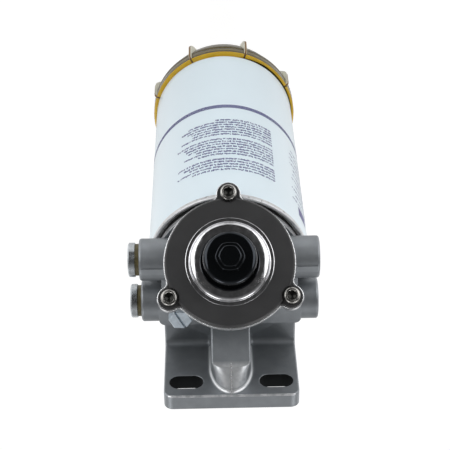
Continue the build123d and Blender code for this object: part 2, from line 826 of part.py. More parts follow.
# Plugs with a hexagon socket in the two ports of the +X side, each on a seal ring
plug_collar_start = boss_end + plug_seal_thickness
with BuildPart() as port_plugs:
    for port_y in (front_port_y, rear_port_y):
        collar = Plane(origin=(plug_collar_start, port_y, -port_drop), x_dir=(0, 1, 0), z_dir=(1, 0, 0))
        with BuildSketch(collar):
            Circle(port_bore_radius + plug_collar_lip)
        extrude(amount=plug_collar_thickness)
    chamfer(edges().filter_by(GeomType.CIRCLE).group_by(Axis.X)[-1], plug_collar_chamfer)
    for port_y in (front_port_y, rear_port_y):
        collar = Plane(origin=(plug_collar_start, port_y, -port_drop), x_dir=(0, 1, 0), z_dir=(1, 0, 0))
        with BuildSketch(collar):
            Circle(port_bore_radius - thread_fit)
        extrude(amount=-plug_seal_thickness - plug_shank_length)
        with BuildSketch(collar.offset(plug_collar_thickness)):
            RegularPolygon(plug_socket / 2, 6, major_radius=False)
        extrude(amount=-plug_socket_depth, mode=Mode.SUBTRACT)
port_plugs.part.label = "port_plugs"
export_step(port_plugs.part, "parts/port_plugs.step")

with BuildPart() as port_plug_seals:
    for port_y in (front_port_y, rear_port_y):
        boss_face = Plane(origin=(boss_end, port_y, -port_drop), x_dir=(0, 1, 0), z_dir=(1, 0, 0))
        with BuildSketch(boss_face):
            Circle(port_bore_radius + plug_seal_width)
            Circle(port_bore_radius + thread_fit, mode=Mode.SUBTRACT)
        extrude(amount=plug_seal_thickness)
port_plug_seals.part.label = "port_plug_seals"
export_step(port_plug_seals.part, "parts/port_plug_seals.step")

# Nipple: threaded tube on which the can is spun up
with BuildPart() as can_nipple:
    with BuildSketch(can_level(-nipple_bottom)):
        Circle(nipple_radius)
        Circle(nipple_bore_radius, mode=Mode.SUBTRACT)
    extrude(amount=nipple_top - nipple_bottom)
can_nipple.part.label = "can_nipple"
export_step(can_nipple.part, "parts/can_nipple.step")

# Gasket between the head and the can's end plate
with BuildPart() as head_gasket:
    with BuildSketch(can_level(-end_plate_top)):
        Circle(head_flange_radius - sliding_fit)
        Circle(head_flange_radius - gasket_width, mode=Mode.SUBTRACT)
    extrude(amount=gasket_height)
head_gasket.part.label = "head_gasket"
export_step(head_gasket.part, "parts/head_gasket.step")

# Shell: drawn steel tube, rolled in at its lower edge
with BuildPart() as filter_can:
    with BuildSketch(can_section):
        with BuildLine():
            inner_radius = can_radius - can_wall
            Polyline(
                (can_radius, can_bottom + can_shoulder_radius),
                (can_radius, seam_base),
                (inner_radius, seam_base),
                (inner_radius, can_bottom + can_shoulder_radius),
            )
            RadiusArc(
                (inner_radius, can_bottom + can_shoulder_radius),
                (can_radius - can_shoulder_radius, can_bottom + can_wall),
                can_shoulder_radius - can_wall,
            )
            Line(
                (can_radius - can_shoulder_radius, can_bottom + can_wall),
                (can_radius - can_shoulder_radius, can_bottom),
            )
            RadiusArc(
                (can_radius - can_shoulder_radius, can_bottom),
                (can_radius, can_bottom + can_shoulder_radius),
                -can_shoulder_radius,
            )
        make_face()
    revolve(axis=can_axis)
filter_can.part.label = "filter_can"
export_step(filter_can.part, "parts/filter_can.step")

# End plate: seamed rim, recessed face with inlet holes and a threaded collar
with BuildPart() as can_end_plate:
    plate_base = end_plate_top - end_plate_thickness
    with BuildSketch(can_section):
        with BuildLine():
            Polyline(
                (nipple_radius + thread_fit, end_plate_top),
                (can_radius - seam_width, end_plate_top),
                (can_radius - seam_width, seam_top),
                (can_radius, seam_top),
                (can_radius, seam_base),
                (can_radius - can_wall - sliding_fit, seam_base),
                (can_radius - can_wall - sliding_fit, plate_base),
                (nipple_radius + collar_wall, plate_base),
                (nipple_radius + collar_wall, plate_base - collar_length),
                (nipple_radius + thread_fit, plate_base - collar_length),
                close=True,
            )
        make_face()
        rim = vertices().filter_by(lambda v: abs(v.Y - seam_top) < 0.01)
        fillet(rim, seam_rounding)
    revolve(axis=can_axis)
    with BuildSketch(can_level(-plate_base)):
        with PolarLocations(inlet_hole_circle, inlet_hole_count):
            Circle(inlet_hole_radius)
    extrude(amount=end_plate_thickness, mode=Mode.SUBTRACT)
can_end_plate.part.label = "can_end_plate"
export_step(can_end_plate.part, "parts/can_end_plate.step")

# Element: star-pleated paper round a perforated tube, between two end caps
pleat_step = 360 / pleat_count
pleat_outline = []
for pleat in range(pleat_count):
    for radius, angle in (
        (element_outer_radius, pleat * pleat_step),
        (element_inner_radius + pleat_root_gap, (pleat + 0.5) * pleat_step),
    ):
        pleat_outline.append((radius * cos(radians(angle)), radius * sin(radians(angle))))
with BuildPart() as filter_element:
    with BuildSketch(can_level(-element_bottom)):
        with BuildLine():
            Polyline(*pleat_outline, close=True)
        make_face()
        Circle(element_inner_radius, mode=Mode.SUBTRACT)
    extrude(amount=element_length)
filter_element.part.label = "filter_element"
export_step(filter_element.part, "parts/filter_element.step")

with BuildPart() as centre_tube:
    tube_radius = element_inner_radius - sliding_fit
    with BuildSketch(can_level(-element_bottom)):
        Circle(tube_radius)
        Circle(tube_radius - tube_wall, mode=Mode.SUBTRACT)
    extrude(amount=element_length)
    row_pitch = element_length / tube_hole_rows
    for row in range(tube_hole_rows):
        row_height = element_bottom + (row + 0.5) * row_pitch
        for hole in range(tube_holes_per_row // 2):
            turn = 180 / (tube_holes_per_row // 2) * hole
            across = Plane(
                origin=(0, can_y, row_height),
                x_dir=(0, 0, 1),
                z_dir=(cos(radians(turn)), sin(radians(turn)), 0),
            )
            with BuildSketch(across):
                Circle(tube_hole_radius)
            extrude(amount=2 * element_inner_radius, both=True, mode=Mode.SUBTRACT)
centre_tube.part.label = "centre_tube"
export_step(centre_tube.part, "parts/centre_tube.step")

cap_radius = element_outer_radius + cap_rim_wall + loose_fit
grommet_outer_radius = nipple_radius + collar_wall
with BuildPart() as element_top_cap:
    with BuildSketch(can_section):
        with BuildLine():
            Polyline(
                (grommet_outer_radius, element_top),
                (element_outer_radius + loose_fit, element_top),
                (element_outer_radius + loose_fit, element_top - cap_rim_height),
                (cap_radius, element_top - cap_rim_height),
                (cap_radius, element_top + cap_thickness),
                (grommet_outer_radius, element_top + cap_thickness),
                close=True,
            )
        make_face()
    revolve(axis=can_axis)
element_top_cap.part.label = "element_top_cap"
export_step(element_top_cap.part, "parts/element_top_cap.step")

# Grommet that seals the element on the nipple
with BuildPart() as element_grommet:
    with BuildSketch(can_section):
        with BuildLine():
            Polyline(
                (nipple_radius + sliding_fit, grommet_top),
                (grommet_outer_radius + grommet_lip, grommet_top),
                (grommet_outer_radius + grommet_lip, element_top + cap_thickness),
                (grommet_outer_radius, element_top + cap_thickness),
                (grommet_outer_radius, element_top),
                (grommet_outer_radius + grommet_lip, element_top),
                (grommet_outer_radius + grommet_lip, grommet_top - grommet_height),
                (nipple_radius + sliding_fit, grommet_top - grommet_height),
                close=True,
            )
        make_face()
    revolve(axis=can_axis)
element_grommet.part.label = "element_grommet"
export_step(element_grommet.part, "parts/element_grommet.step")

with BuildPart() as element_bottom_cap:
    with BuildSketch(can_section):
        with BuildLine():
            Polyline(
                (0, element_bottom),
                (element_outer_radius + loose_fit, element_bottom),
                (element_outer_radius + loose_fit, element_bottom + cap_rim_height),
                (cap_radius, element_bottom + cap_rim_height),
                (cap_radius, element_bottom - cap_thickness),
                (0, element_bottom - cap_thickness),
                close=True,
            )
        make_face()
    revolve(axis=can_axis)
element_bottom_cap.part.label = "element_bottom_cap"
export_step(element_bottom_cap.part, "parts/element_bottom_cap.step")

# Ring plate at the lower end of the can, with the collar for the bowl
ring_top = can_bottom + can_wall + end_plate_thickness
ring_bore = bowl_ring_radius + thread_fit
with BuildPart() as bowl_ring:
    with BuildSketch(can_section):
        with BuildLine():
            Polyline(
                (ring_bore, can_bottom + can_wall),
                (can_radius - can_shoulder_radius, can_bottom + can_wall),
                (can_radius - can_shoulder_radius, ring_top),
                (ring_bore + bowl_ring_wall, ring_top),
                (ring_bore + bowl_ring_wall, can_bottom + bowl_ring_length),
                (ring_bore, can_bottom + bowl_ring_length),
                close=True,
            )
        make_face()
    revolve(axis=can_axis)
bowl_ring.part.label = "bowl_ring"
export_step(bowl_ring.part, "parts/bowl_ring.step")

# Spider spring that holds the element up from the collar
spider_foot_radius = ring_bore + bowl_ring_wall
with BuildPart() as element_spider:
    with BuildSketch(can_level(-spider_top)):
        Circle(spider_ring_radius)
        Circle(spider_ring_radius - spider_leg_width / 2, mode=Mode.SUBTRACT)
    extrude(amount=-spider_thickness)
    for leg in range(spider_leg_count):
        turn = 360 / spider_leg_count * leg
        leg_plane = Plane(
            origin=(0, can_y, 0),
            x_dir=(cos(radians(turn)), sin(radians(turn)), 0),
            z_dir=(sin(radians(turn)), -cos(radians(turn)), 0),
        )
        with BuildSketch(leg_plane):
            with BuildLine():
                Polyline(
                    (spider_ring_radius - spider_leg_width / 4, spider_top),
                    (spider_ring_radius + spider_thickness, spider_top),
                    (spider_foot_radius, spider_foot + spider_thickness),
                    (spider_foot_radius, spider_foot),
                    (spider_foot_radius - bowl_ring_wall, spider_foot),
                    (spider_ring_radius, spider_top - spider_thickness),
                    (spider_ring_radius - spider_leg_width / 4, spider_top - spider_thickness),
                    close=True,
                )
            make_face()
        extrude(amount=spider_leg_width / 2, both=True)
element_spider.part.label = "element_spider"
export_step(element_spider.part, "parts/element_spider.step")

# Bowl gasket between the can's lower edge and the bowl's flange
bowl_top = can_bottom - bowl_gasket_height
gasket_outer = can_radius - can_shoulder_radius + bowl_gasket_width / 2
with BuildPart() as bowl_gasket:
    with BuildSketch(can_level(-bowl_top)):
        Circle(gasket_outer)
        Circle(gasket_outer - bowl_gasket_width, mode=Mode.SUBTRACT)
    extrude(amount=bowl_gasket_height)
bowl_gasket.part.label = "bowl_gasket"
export_step(bowl_gasket.part, "parts/bowl_gasket.step")

# Water bowl: threaded neck, flange, ribbed belly and a boss for the drain
flange_base = bowl_top - bowl_flange_height
bowl_floor = bowl_top - bowl_depth
neck_radius = bowl_ring_radius
neck_inner = neck_radius - bowl_neck_wall
belly_mid_radius = bowl_flange_radius - belly_inset
belly_mid_height = bowl_top - belly_drop
with BuildPart() as water_bowl:
    with BuildSketch(can_section):
        with BuildLine():
            Polyline(
                (0, bowl_floor + bowl_wall),
                (0, bowl_floor),
                (bowl_floor_radius, bowl_floor),
            )
            ThreePointArc(
                (bowl_floor_radius, bowl_floor),
                (belly_mid_radius, belly_mid_height),
                (bowl_flange_radius - bowl_wall / 2, flange_base),
            )
            Polyline(
                (bowl_flange_radius - bowl_wall / 2, flange_base),
                (bowl_flange_radius, flange_base + bowl_wall / 2),
                (bowl_flange_radius, bowl_top),
                (neck_radius, bowl_top),
                (neck_radius, bowl_top + bowl_neck_length),
                (neck_inner, bowl_top + bowl_neck_length),
                (neck_inner, bowl_top - bowl_wall),
                (bowl_flange_radius - bowl_rim_wall, bowl_top - bowl_wall),
                (bowl_flange_radius - bowl_rim_wall, flange_base),
            )
            ThreePointArc(
                (bowl_flange_radius - bowl_rim_wall, flange_base),
                (belly_mid_radius - belly_wall_across, belly_mid_height + belly_wall_down),
                (bowl_floor_radius - bowl_wall / 3, bowl_floor + bowl_wall),
            )
            Line((bowl_floor_radius - bowl_wall / 3, bowl_floor + bowl_wall), (0, bowl_floor + bowl_wall))
        make_face()
    revolve(axis=can_axis)
    for fin in range(fin_count):
        turn = fin_first_angle - 90 + 360 / fin_count * fin
        fin_plane = Plane(
            origin=(0, can_y, 0),
            x_dir=(cos(radians(turn)), sin(radians(turn)), 0),
            z_dir=(sin(radians(turn)), -cos(radians(turn)), 0),
        )
        with BuildSketch(fin_plane):
            with BuildLine():
                fin_inner = bowl_flange_radius - bowl_wall
                fin_outer = bowl_flange_radius + fin_reach
                Polyline(
                    (fin_inner, bowl_top),
                    (bowl_flange_radius, bowl_top),
                    (fin_outer, bowl_top - fin_top_slope),
                    (fin_outer, flange_base),
                )
                ThreePointArc(
                    (fin_outer, flange_base),
                    (bowl_flange_radius - fin_hip_inset, flange_base - fin_hip_drop),
                    (bowl_flange_radius - fin_foot_inset, bowl_top - fin_length),
                )
                Line(
                    (bowl_flange_radius - fin_foot_inset, bowl_top - fin_length),
                    (fin_inner, bowl_top),
                )
            make_face()
        extrude(amount=fin_thickness / 2, both=True)
    with BuildSketch(can_level(-bowl_floor)):
        Circle(drain_boss_radius)
    extrude(amount=-drain_boss_height, taper=boss_draft)
    with BuildSketch(can_level(-bowl_floor + drain_boss_height)):
        Circle(drain_thread_radius + thread_fit)
    extrude(amount=drain_boss_height + bowl_wall, mode=Mode.SUBTRACT)
water_bowl.part.label = "water_bowl"
export_step(water_bowl.part, "parts/water_bowl.step")

# Drain valve: lobed thumb wheel on a hollow threaded plug, with a spout
drain_face = bowl_floor - drain_boss_height
drain_head_top = drain_face - drain_seal_height
with BuildPart() as drain_valve:
    with BuildSketch(can_level(-drain_head_top)):
        Circle(drain_head_radius)
        with PolarLocations(drain_head_radius + drain_lobe_radius / 2, drain_lobe_count):
            Circle(drain_lobe_radius, mode=Mode.SUBTRACT)
    extrude(amount=-drain_head_height, taper=boss_draft)
    with BuildSketch(can_level(-drain_head_top)):
        Circle(drain_thread_radius)
    extrude(amount=drain_boss_height + drain_seal_height)
    with BuildSketch(can_level(-drain_head_top + drain_head_height)):
        Circle(drain_spout_radius)
    extrude(amount=-drain_spout_length)
    with BuildSketch(can_level(-drain_head_top + drain_head_height + drain_spout_length)):
        Circle(drain_bore_radius)
    extrude(amount=drain_spout_length + drain_head_height + drain_boss_height, mode=Mode.SUBTRACT)
drain_valve.part.label = "drain_valve"
export_step(drain_valve.part, "parts/drain_valve.step")

with BuildPart() as drain_seal:
    with BuildSketch(can_level(-drain_head_top)):
        Circle(drain_thread_radius + loose_fit + drain_seal_width)
        Circle(drain_thread_radius + loose_fit, mode=Mode.SUBTRACT)
    extrude(amount=drain_seal_height)
drain_seal.part.label = "drain_seal"
export_step(drain_seal.part, "parts/drain_seal.step")
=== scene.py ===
import math
import random

import bmesh
import bpy
from bpy.props import FloatProperty, FloatVectorProperty, IntProperty, PointerProperty
from bpy.types import Operator, Panel, PropertyGroup
from mathutils import Matrix, Vector


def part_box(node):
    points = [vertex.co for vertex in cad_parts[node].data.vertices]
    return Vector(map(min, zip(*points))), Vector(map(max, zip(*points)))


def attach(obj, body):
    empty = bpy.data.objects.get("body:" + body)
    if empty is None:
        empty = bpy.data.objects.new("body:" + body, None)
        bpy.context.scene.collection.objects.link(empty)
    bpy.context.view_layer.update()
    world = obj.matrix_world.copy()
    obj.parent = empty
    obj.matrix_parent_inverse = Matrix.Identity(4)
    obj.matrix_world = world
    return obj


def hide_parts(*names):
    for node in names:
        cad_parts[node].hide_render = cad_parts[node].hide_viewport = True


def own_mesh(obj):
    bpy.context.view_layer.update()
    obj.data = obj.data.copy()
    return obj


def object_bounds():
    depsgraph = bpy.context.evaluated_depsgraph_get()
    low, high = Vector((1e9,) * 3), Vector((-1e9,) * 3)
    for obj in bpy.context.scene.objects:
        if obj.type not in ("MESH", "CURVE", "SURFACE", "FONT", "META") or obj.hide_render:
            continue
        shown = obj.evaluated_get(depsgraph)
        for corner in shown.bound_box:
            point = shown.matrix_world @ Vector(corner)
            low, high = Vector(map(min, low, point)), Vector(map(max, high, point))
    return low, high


bl_info = {
    "name": "Fuel water separator",
    "version": (1, 0, 0),
    "blender": (4, 5, 0),
    "location": "3D View > Sidebar > Separator",
    "description": "Dresses the separator's frame with its finished surfaces and fine pieces",
    "category": "Object",
}

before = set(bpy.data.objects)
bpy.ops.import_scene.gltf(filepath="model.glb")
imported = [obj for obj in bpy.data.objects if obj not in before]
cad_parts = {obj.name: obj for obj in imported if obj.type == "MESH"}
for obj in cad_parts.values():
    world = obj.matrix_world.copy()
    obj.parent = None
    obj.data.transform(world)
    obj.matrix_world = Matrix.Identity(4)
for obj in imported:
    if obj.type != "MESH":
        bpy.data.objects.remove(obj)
cad_low, cad_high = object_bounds()

MM = 0.001
HOUSING = "housing"

# Can and bowl, read from the frame
can_low, can_high = (Vector(corner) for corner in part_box("filter_can"))
can_radius = (can_high.x - can_low.x) / 2
can_axis_y = (can_low.y + can_high.y) / 2
can_place = Matrix.Translation((0, can_axis_y, 0))
gasket_low, gasket_high = (Vector(corner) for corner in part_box("bowl_gasket"))
bowl_flange_top = gasket_low.z

# Pump, tilted towards the front: its place has Z along the pump's axis
pump_tilt = math.radians(45)
pump_place = Matrix.Translation((0, -96.6 * MM, -16.4 * MM)) @ Matrix.Rotation(pump_tilt, 4, "X")
cover_top = 5.0 * MM
screw_circle = 44.9 * MM
screw_seat = 2.5 * MM
knob_wall = 2.2 * MM

# Where the head casting is machined, and where highlights are painted on its edges and fillets and shade
# in its slots. FLANGE is measured from the pump's place, SEAT from the can's, and the rest in the part's
# own axes.
# Pairs are a lowest and a highest bound.
PLATE_FACE = -11.0 * MM
PLATE_EDGE_HEIGHT = 13.2 * MM
PLATE_EDGE_DEPTH = -10.0 * MM
SLOT_MIDDLE = 30.0 * MM
SLOT_HALF_LENGTH = 11.3 * MM
SLOT_HALF_HEIGHT = 6.5 * MM
SLOT_DEPTH = (-10.8 * MM, -0.04 * MM)
FLANGE_REACH = (41.5 * MM, 54.0 * MM)
FLANGE_HEIGHT = (-8.1 * MM, 0.2 * MM)
FLANGE_RIM = -0.9 * MM
SEAT_HEIGHT = -49.5 * MM
SEAT_RADIUS = 50.6 * MM
BOSS_END = 59.2 * MM
RIB_HALF_WIDTH = 18.0 * MM
LEDGE_HEIGHT = -36.0 * MM
PARTING_HALF_WIDTH = 0.35 * MM
PARTING_DEPTH = -11.3 * MM
PARTING_HEIGHT = 2.0 * MM

# Print on the can: heights along Z, and degrees round it from the front towards +X.
# The stripe's lines are in mm from its height, and rows end anywhere in the range to their right.
INK_STANDS_OFF = 0.06 * MM
STRIPE_HEIGHT = -179.4 * MM
STRIPE_LINES = ((-2.3, -1.2), (-0.9, 0.2), (0.5, 1.35), (1.6, 2.3))
FIRST_ROW = -158.6 * MM
ROW_COUNT = 21
BLANK_ROWS = (7, 15)
MAIN_LEFT, MAIN_RIGHT, MAIN_LETTERS = -36.5, (22, 40), 2.25 * MM
FIRST_ROW_RIGHT = 8
SIDE_LEFT, SIDE_RIGHT, SIDE_SPREAD, SIDE_LETTERS = -104, -54, 5, 2.0 * MM
BADGE_LEFT, BADGE_RIGHT, BADGE_HEIGHT = -74, -62, 11 * MM
STROKE_GAP = 0.16 * MM
WORD_GAP = 0.75 * MM
PRINT_FACET = 2.0

# Choices for the strokes: how many to a word, width in mm, and shares cut off at the foot and the head
WORD_LENGTHS = (2, 3, 4, 6, 8, 9)
STROKE_WIDTH = (0.55, 1.0)
FOOT_CUTS = (0, 0, 0.12, 0.3)
HEAD_CUTS = (0, 0.2, 0.35)

# Bowl fins, turned by a few degrees from the front towards -X
FIN_COUNT = 8
FIN_ANGLE = 18
FIN_HALF_WIDTH = 1.0 * MM

# Colours of the bowl change at these heights over its flange, and beside the fins: painted shade on the
# side under RIM_TOP, a painted highlight line in BRIGHT_LINE and painted shade in the notches by the fins
RIM_TOP = 2.5 * MM
BRIGHT_LINE = (-1.6 * MM, -0.7 * MM)
NOTCH_HALF_WIDTH = 0.75 * MM
NOTCH_RADIUS = 54.0 * MM
NOTCH_FOOT = -9.5 * MM

# Room round the bowl's seal. The gap is a share of the radius, reached early on the way round.
SEAL_CLEARANCE = 0.1 * MM
LEDGE_WIDTH = 0.5 * MM
SEAL_GAP = 0.053
SEAL_GAP_SPREAD = 1.7
BESIDE_SEAL = (50.0 * MM, 55.2 * MM)

# Floor: a wide disc a little below the object. Camera rays see it glow by a share, and gloss sees it glow
# more and more to the sides, between two distances.
FLOOR_RADIUS = 9.0
FLOOR_DROP = 12.0 * MM
FLOOR_GLOW = 1.3
FLOOR_GLOW_SEEN = 0.6
FLOOR_BESIDE = (0.04, 0.3)

# Sky: it brightens along this direction, between two shares of it
SKY_DIRECTION = (0, 1, -0.2)
SKY_FADE = (-0.7, 0.4)


def srgb(red, green, blue):
    """Linear colour with alpha from screen values out of 255."""
    linear = []
    for value in (red, green, blue):
        share = value / 255
        linear.append(share / 12.92 if share <= 0.04045 else ((share + 0.055) / 1.055) ** 2.4)
    return (*linear, 1.0)


class Finish:
    """A node material in the making, with its principled shader at hand."""

    def __init__(self, name, colour, roughness=0.5, metallic=0.0):
        self.material = bpy.data.materials.new(name)
        self.material.use_nodes = True
        self.material.diffuse_color = colour
        self.tree = self.material.node_tree
        self.shader = self.tree.nodes["Principled BSDF"]
        self.output = self.tree.nodes["Material Output"]
        self.set("Base Color", colour)
        self.set("Roughness", roughness)
        self.set("Metallic", metallic)
        self.place = self.node("ShaderNodeTexCoord").outputs["Object"]

    def set(self, socket, value):
        """Sets a constant on the shader's own socket."""
        self.shader.inputs[socket].default_value = value

    def node(self, kind, **settings):
        """New node with its options set."""
        made = self.tree.nodes.new(kind)
        for key, value in settings.items():
            setattr(made, key, value)
        return made

    def link(self, source, target):
        self.tree.links.new(source, target)

    def noise(self, size, detail=3.0, stretch=None):
        """Noise whose lumps are about this many millimetres across."""
        texture = self.node("ShaderNodeTexNoise")
        texture.inputs["Scale"].default_value = 1000 / size
        texture.inputs["Detail"].default_value = detail
        source = self.place
        if stretch:
            mapping = self.node("ShaderNodeMapping")
            mapping.inputs["Scale"].default_value = stretch
            self.link(source, mapping.inputs["Vector"])
            source = mapping.outputs["Vector"]
        self.link(source, texture.inputs["Vector"])
        return texture.outputs["Fac"]

    def spread(self, value, low, high, to_low, to_high):
        """Maps a stretch of a value to another one."""
        ranged = self.node("ShaderNodeMapRange")
        ranged.inputs["From Min"].default_value = low
        ranged.inputs["From Max"].default_value = high
        ranged.inputs["To Min"].default_value = to_low
        ranged.inputs["To Max"].default_value = to_high
        self.link(value, ranged.inputs["Value"])
        return ranged.outputs["Result"]

    def math(self, operation, first, second=None):
        """Result of a sum on numbers or sockets."""
        made = self.node("ShaderNodeMath", operation=operation)
        for socket, value in zip(made.inputs, (first, second)):
            if value is None:
                continue
            if isinstance(value, (int, float)):
                socket.default_value = value
            else:
                self.link(value, socket)
        return made.outputs[0]

    def blend(self, factor, first, second):
        """Colour between two colours or sockets."""
        made = self.node("ShaderNodeMix", data_type="RGBA")
        self.link(factor, made.inputs[0])
        for socket, value in ((made.inputs[6], first), (made.inputs[7], second)):
            if isinstance(value, (tuple, list)):
                socket.default_value = value
            else:
                self.link(value, socket)
        return made.outputs[2]

    def axes(self, place=None):
        """X, Y and Z of the surface point, measured from a place's own axes."""
        source = self.place
        if place is not None:
            mapping = self.node("ShaderNodeMapping", vector_type="POINT")
            turned = place.inverted()
            mapping.inputs["Location"].default_value = turned.to_translation()
            mapping.inputs["Rotation"].default_value = turned.to_euler()
            self.link(source, mapping.inputs["Vector"])
            source = mapping.outputs["Vector"]
        split = self.node("ShaderNodeSeparateXYZ")
        self.link(source, split.inputs[0])
        return split.outputs

    def radius(self, axes):
        """Distance from the Z axis of split axes."""
        across, along = (self.math("MULTIPLY", axis, axis) for axis in axes[:2])
        return self.math("SQRT", self.math("ADD", across, along))

    def above(self, value, bound):
        """1 where a value is over a bound, 0 elsewhere."""
        return self.math("GREATER_THAN", value, bound)

    def below(self, value, bound):
        """1 where a value is under a bound, 0 elsewhere."""
        return self.math("LESS_THAN", value, bound)

    def all_of(self, *masks):
        """Masks multiplied, so it is 1 only where all of them are."""
        joined = masks[0]
        for mask in masks[1:]:
            joined = self.math("MULTIPLY", joined, mask)
        return joined

    def any_of(self, *masks):
        """Highest of the masks."""
        joined = masks[0]
        for mask in masks[1:]:
            joined = self.math("MAXIMUM", joined, mask)
        return joined

    def between(self, value, low, high):
        """1 where a value lies between two bounds, 0 elsewhere."""
        return self.all_of(self.above(value, low), self.below(value, high))

    def mottle(self, value, low, high, first, second):
        """Colour that goes from one to another as a value goes from low to high."""
        return self.blend(self.spread(value, low, high, 0.0, 1.0), first, second)

    def colour(self, socket):
        self.link(socket, self.shader.inputs["Base Color"])

    def roughness(self, socket):
        self.link(socket, self.shader.inputs["Roughness"])

    def relief(self, *layers, edge=0.0):
        """Bump of one or more height layers, each (height, depth in mm), over softened edges."""
        normal = None
        if edge:
            bevel = self.node("ShaderNodeBevel", samples=6)
            if isinstance(edge, float):
                bevel.inputs["Radius"].default_value = edge * MM
            else:
                self.link(edge, bevel.inputs["Radius"])
            normal = bevel.outputs["Normal"]
        for height, depth in layers:
            bump = self.node("ShaderNodeBump")
            bump.inputs["Strength"].default_value = 1.0
            bump.inputs["Distance"].default_value = depth * MM
            self.link(height, bump.inputs["Height"])
            if normal is not None:
                self.link(normal, bump.inputs["Normal"])
            normal = bump.outputs["Normal"]
        self.link(normal, self.shader.inputs["Normal"])


def toned(colour, factor, lift=0.0):
    """Colour made darker or lighter by a factor, and lifted from black."""
    return tuple(min(1.0, factor * value + lift) for value in colour[:3]) + (1.0,)


def die_cast(settings):
    """Grey die casting: fine grain, cloudy tone, lighter where it is machined, with painted highlights on
    edges and fillets and painted shade in the slots.
    """
    colour = settings.colour[:]
    finish = Finish("die_cast", colour, roughness=0.45, metallic=0.75)
    grain = finish.noise(0.7, 4.0)
    pump, seat, row = finish.axes(pump_place), finish.axes(can_place), finish.axes()
    from_pump = finish.radius(pump)
    sideways = finish.math("ABSOLUTE", row[0])

    on_flange = finish.all_of(
        finish.between(from_pump, *FLANGE_REACH),
        finish.between(pump[2], *FLANGE_HEIGHT),
    )
    on_seat = finish.all_of(
        finish.below(seat[2], SEAT_HEIGHT),
        finish.above(finish.radius(seat), SEAT_RADIUS),
    )
    machined = finish.any_of(on_flange, on_seat, finish.above(sideways, BOSS_END))

    # Painted shade: the inside of the slots is coloured near black for the shade in them.
    from_slot = finish.math("ABSOLUTE", finish.math("SUBTRACT", sideways, SLOT_MIDDLE))
    slot_shade = finish.all_of(
        finish.below(finish.math("ABSOLUTE", row[2]), SLOT_HALF_HEIGHT),
        finish.below(from_slot, SLOT_HALF_LENGTH),
        finish.between(row[1], *SLOT_DEPTH),
    )

    # Painted highlights: bright lines coloured on the pump flange's rim, the seat's edge, the plate's top
    # edge and the parting ridge.
    flange_rim = finish.all_of(on_flange, finish.above(pump[2], FLANGE_RIM))
    plate_edge = finish.all_of(
        finish.above(row[2], PLATE_EDGE_HEIGHT),
        finish.below(row[1], PLATE_EDGE_DEPTH),
        finish.spread(finish.noise(5.0, 2.0), 0.4, 0.6, 0.4, 1.0),
    )
    parting_line = finish.all_of(
        finish.below(sideways, PARTING_HALF_WIDTH),
        finish.below(row[1], PARTING_DEPTH),
        finish.above(row[2], PARTING_HEIGHT),
    )
    bright = finish.any_of(flange_rim, on_seat, plate_edge, parting_line)

    # Painted sheen: the rib's root fillet and nose are coloured lighter for the floor they reflect.
    near_rib = finish.all_of(
        finish.below(sideways, RIB_HALF_WIDTH),
        finish.above(row[2], LEDGE_HEIGHT),
    )
    proud = finish.math("SUBTRACT", PLATE_FACE, row[1])
    on_root = finish.all_of(
        finish.spread(proud, 0.05 * MM, 0.6 * MM, 0.0, 1.0),
        finish.spread(proud, 1.8 * MM, 2.6 * MM, 1.0, 0.0),
    )
    on_nose = finish.all_of(
        finish.spread(proud, 2.0 * MM, 3.0 * MM, 0.0, 1.0),
        finish.spread(row[2], 1.0 * MM, 3.5 * MM, 0.0, 1.0),
        finish.spread(finish.noise(2.6, 2.0), 0.35, 0.6, 0.62, 0.85),
    )
    painted_sheen = finish.all_of(near_rib, finish.any_of(on_root, on_nose))

    tone = finish.mottle(finish.noise(9.0), 0.35, 0.65, toned(colour, 0.93), toned(colour, 1.06))
    # Over the cast tone: lighter machined faces, then painted sheen, painted highlights and painted slot
    # shade.
    tone = finish.blend(machined, tone, srgb(190, 192, 194))
    tone = finish.blend(painted_sheen, tone, srgb(214, 216, 218))
    tone = finish.blend(bright, tone, srgb(236, 237, 239))
    finish.colour(finish.blend(slot_shade, tone, srgb(27, 30, 31)))
    rough = finish.spread(grain, 0.3, 0.7, 0.42, 0.5)
    rough = finish.math("SUBTRACT", rough, finish.math("MULTIPLY", machined, 0.08))
    rough = finish.math("SUBTRACT", rough, finish.math("MULTIPLY", painted_sheen, 0.06))
    rough = finish.math("MAXIMUM", rough, finish.math("MULTIPLY", slot_shade, 0.85))
    finish.roughness(finish.math("SUBTRACT", rough, finish.math("MULTIPLY", bright, 0.15)))
    soft_edge = finish.spread(flange_rim, 0.0, 1.0, 0.4 * MM, 0.9 * MM)
    finish.relief((grain, 0.006), (finish.noise(3.0, 2.0), 0.012), edge=soft_edge)
    return finish.material


def satin_black(name, colour, roughness, grain_depth, edge=0.35, shine=(1, 1, 1, 1)):
    """Dark moulding with a fine etched grain."""
    finish = Finish(name, colour, roughness)
    finish.set("Specular Tint", shine)
    finish.set("IOR", 1.5)
    grain = finish.noise(0.35)
    finish.colour(finish.mottle(finish.noise(14.0, 2.0), 0.35, 0.7, colour, toned(colour, 1.25)))
    finish.roughness(finish.spread(grain, 0.3, 0.7, roughness - 0.05, roughness + 0.07))
    finish.relief((grain, grain_depth), edge=edge)
    return finish.material


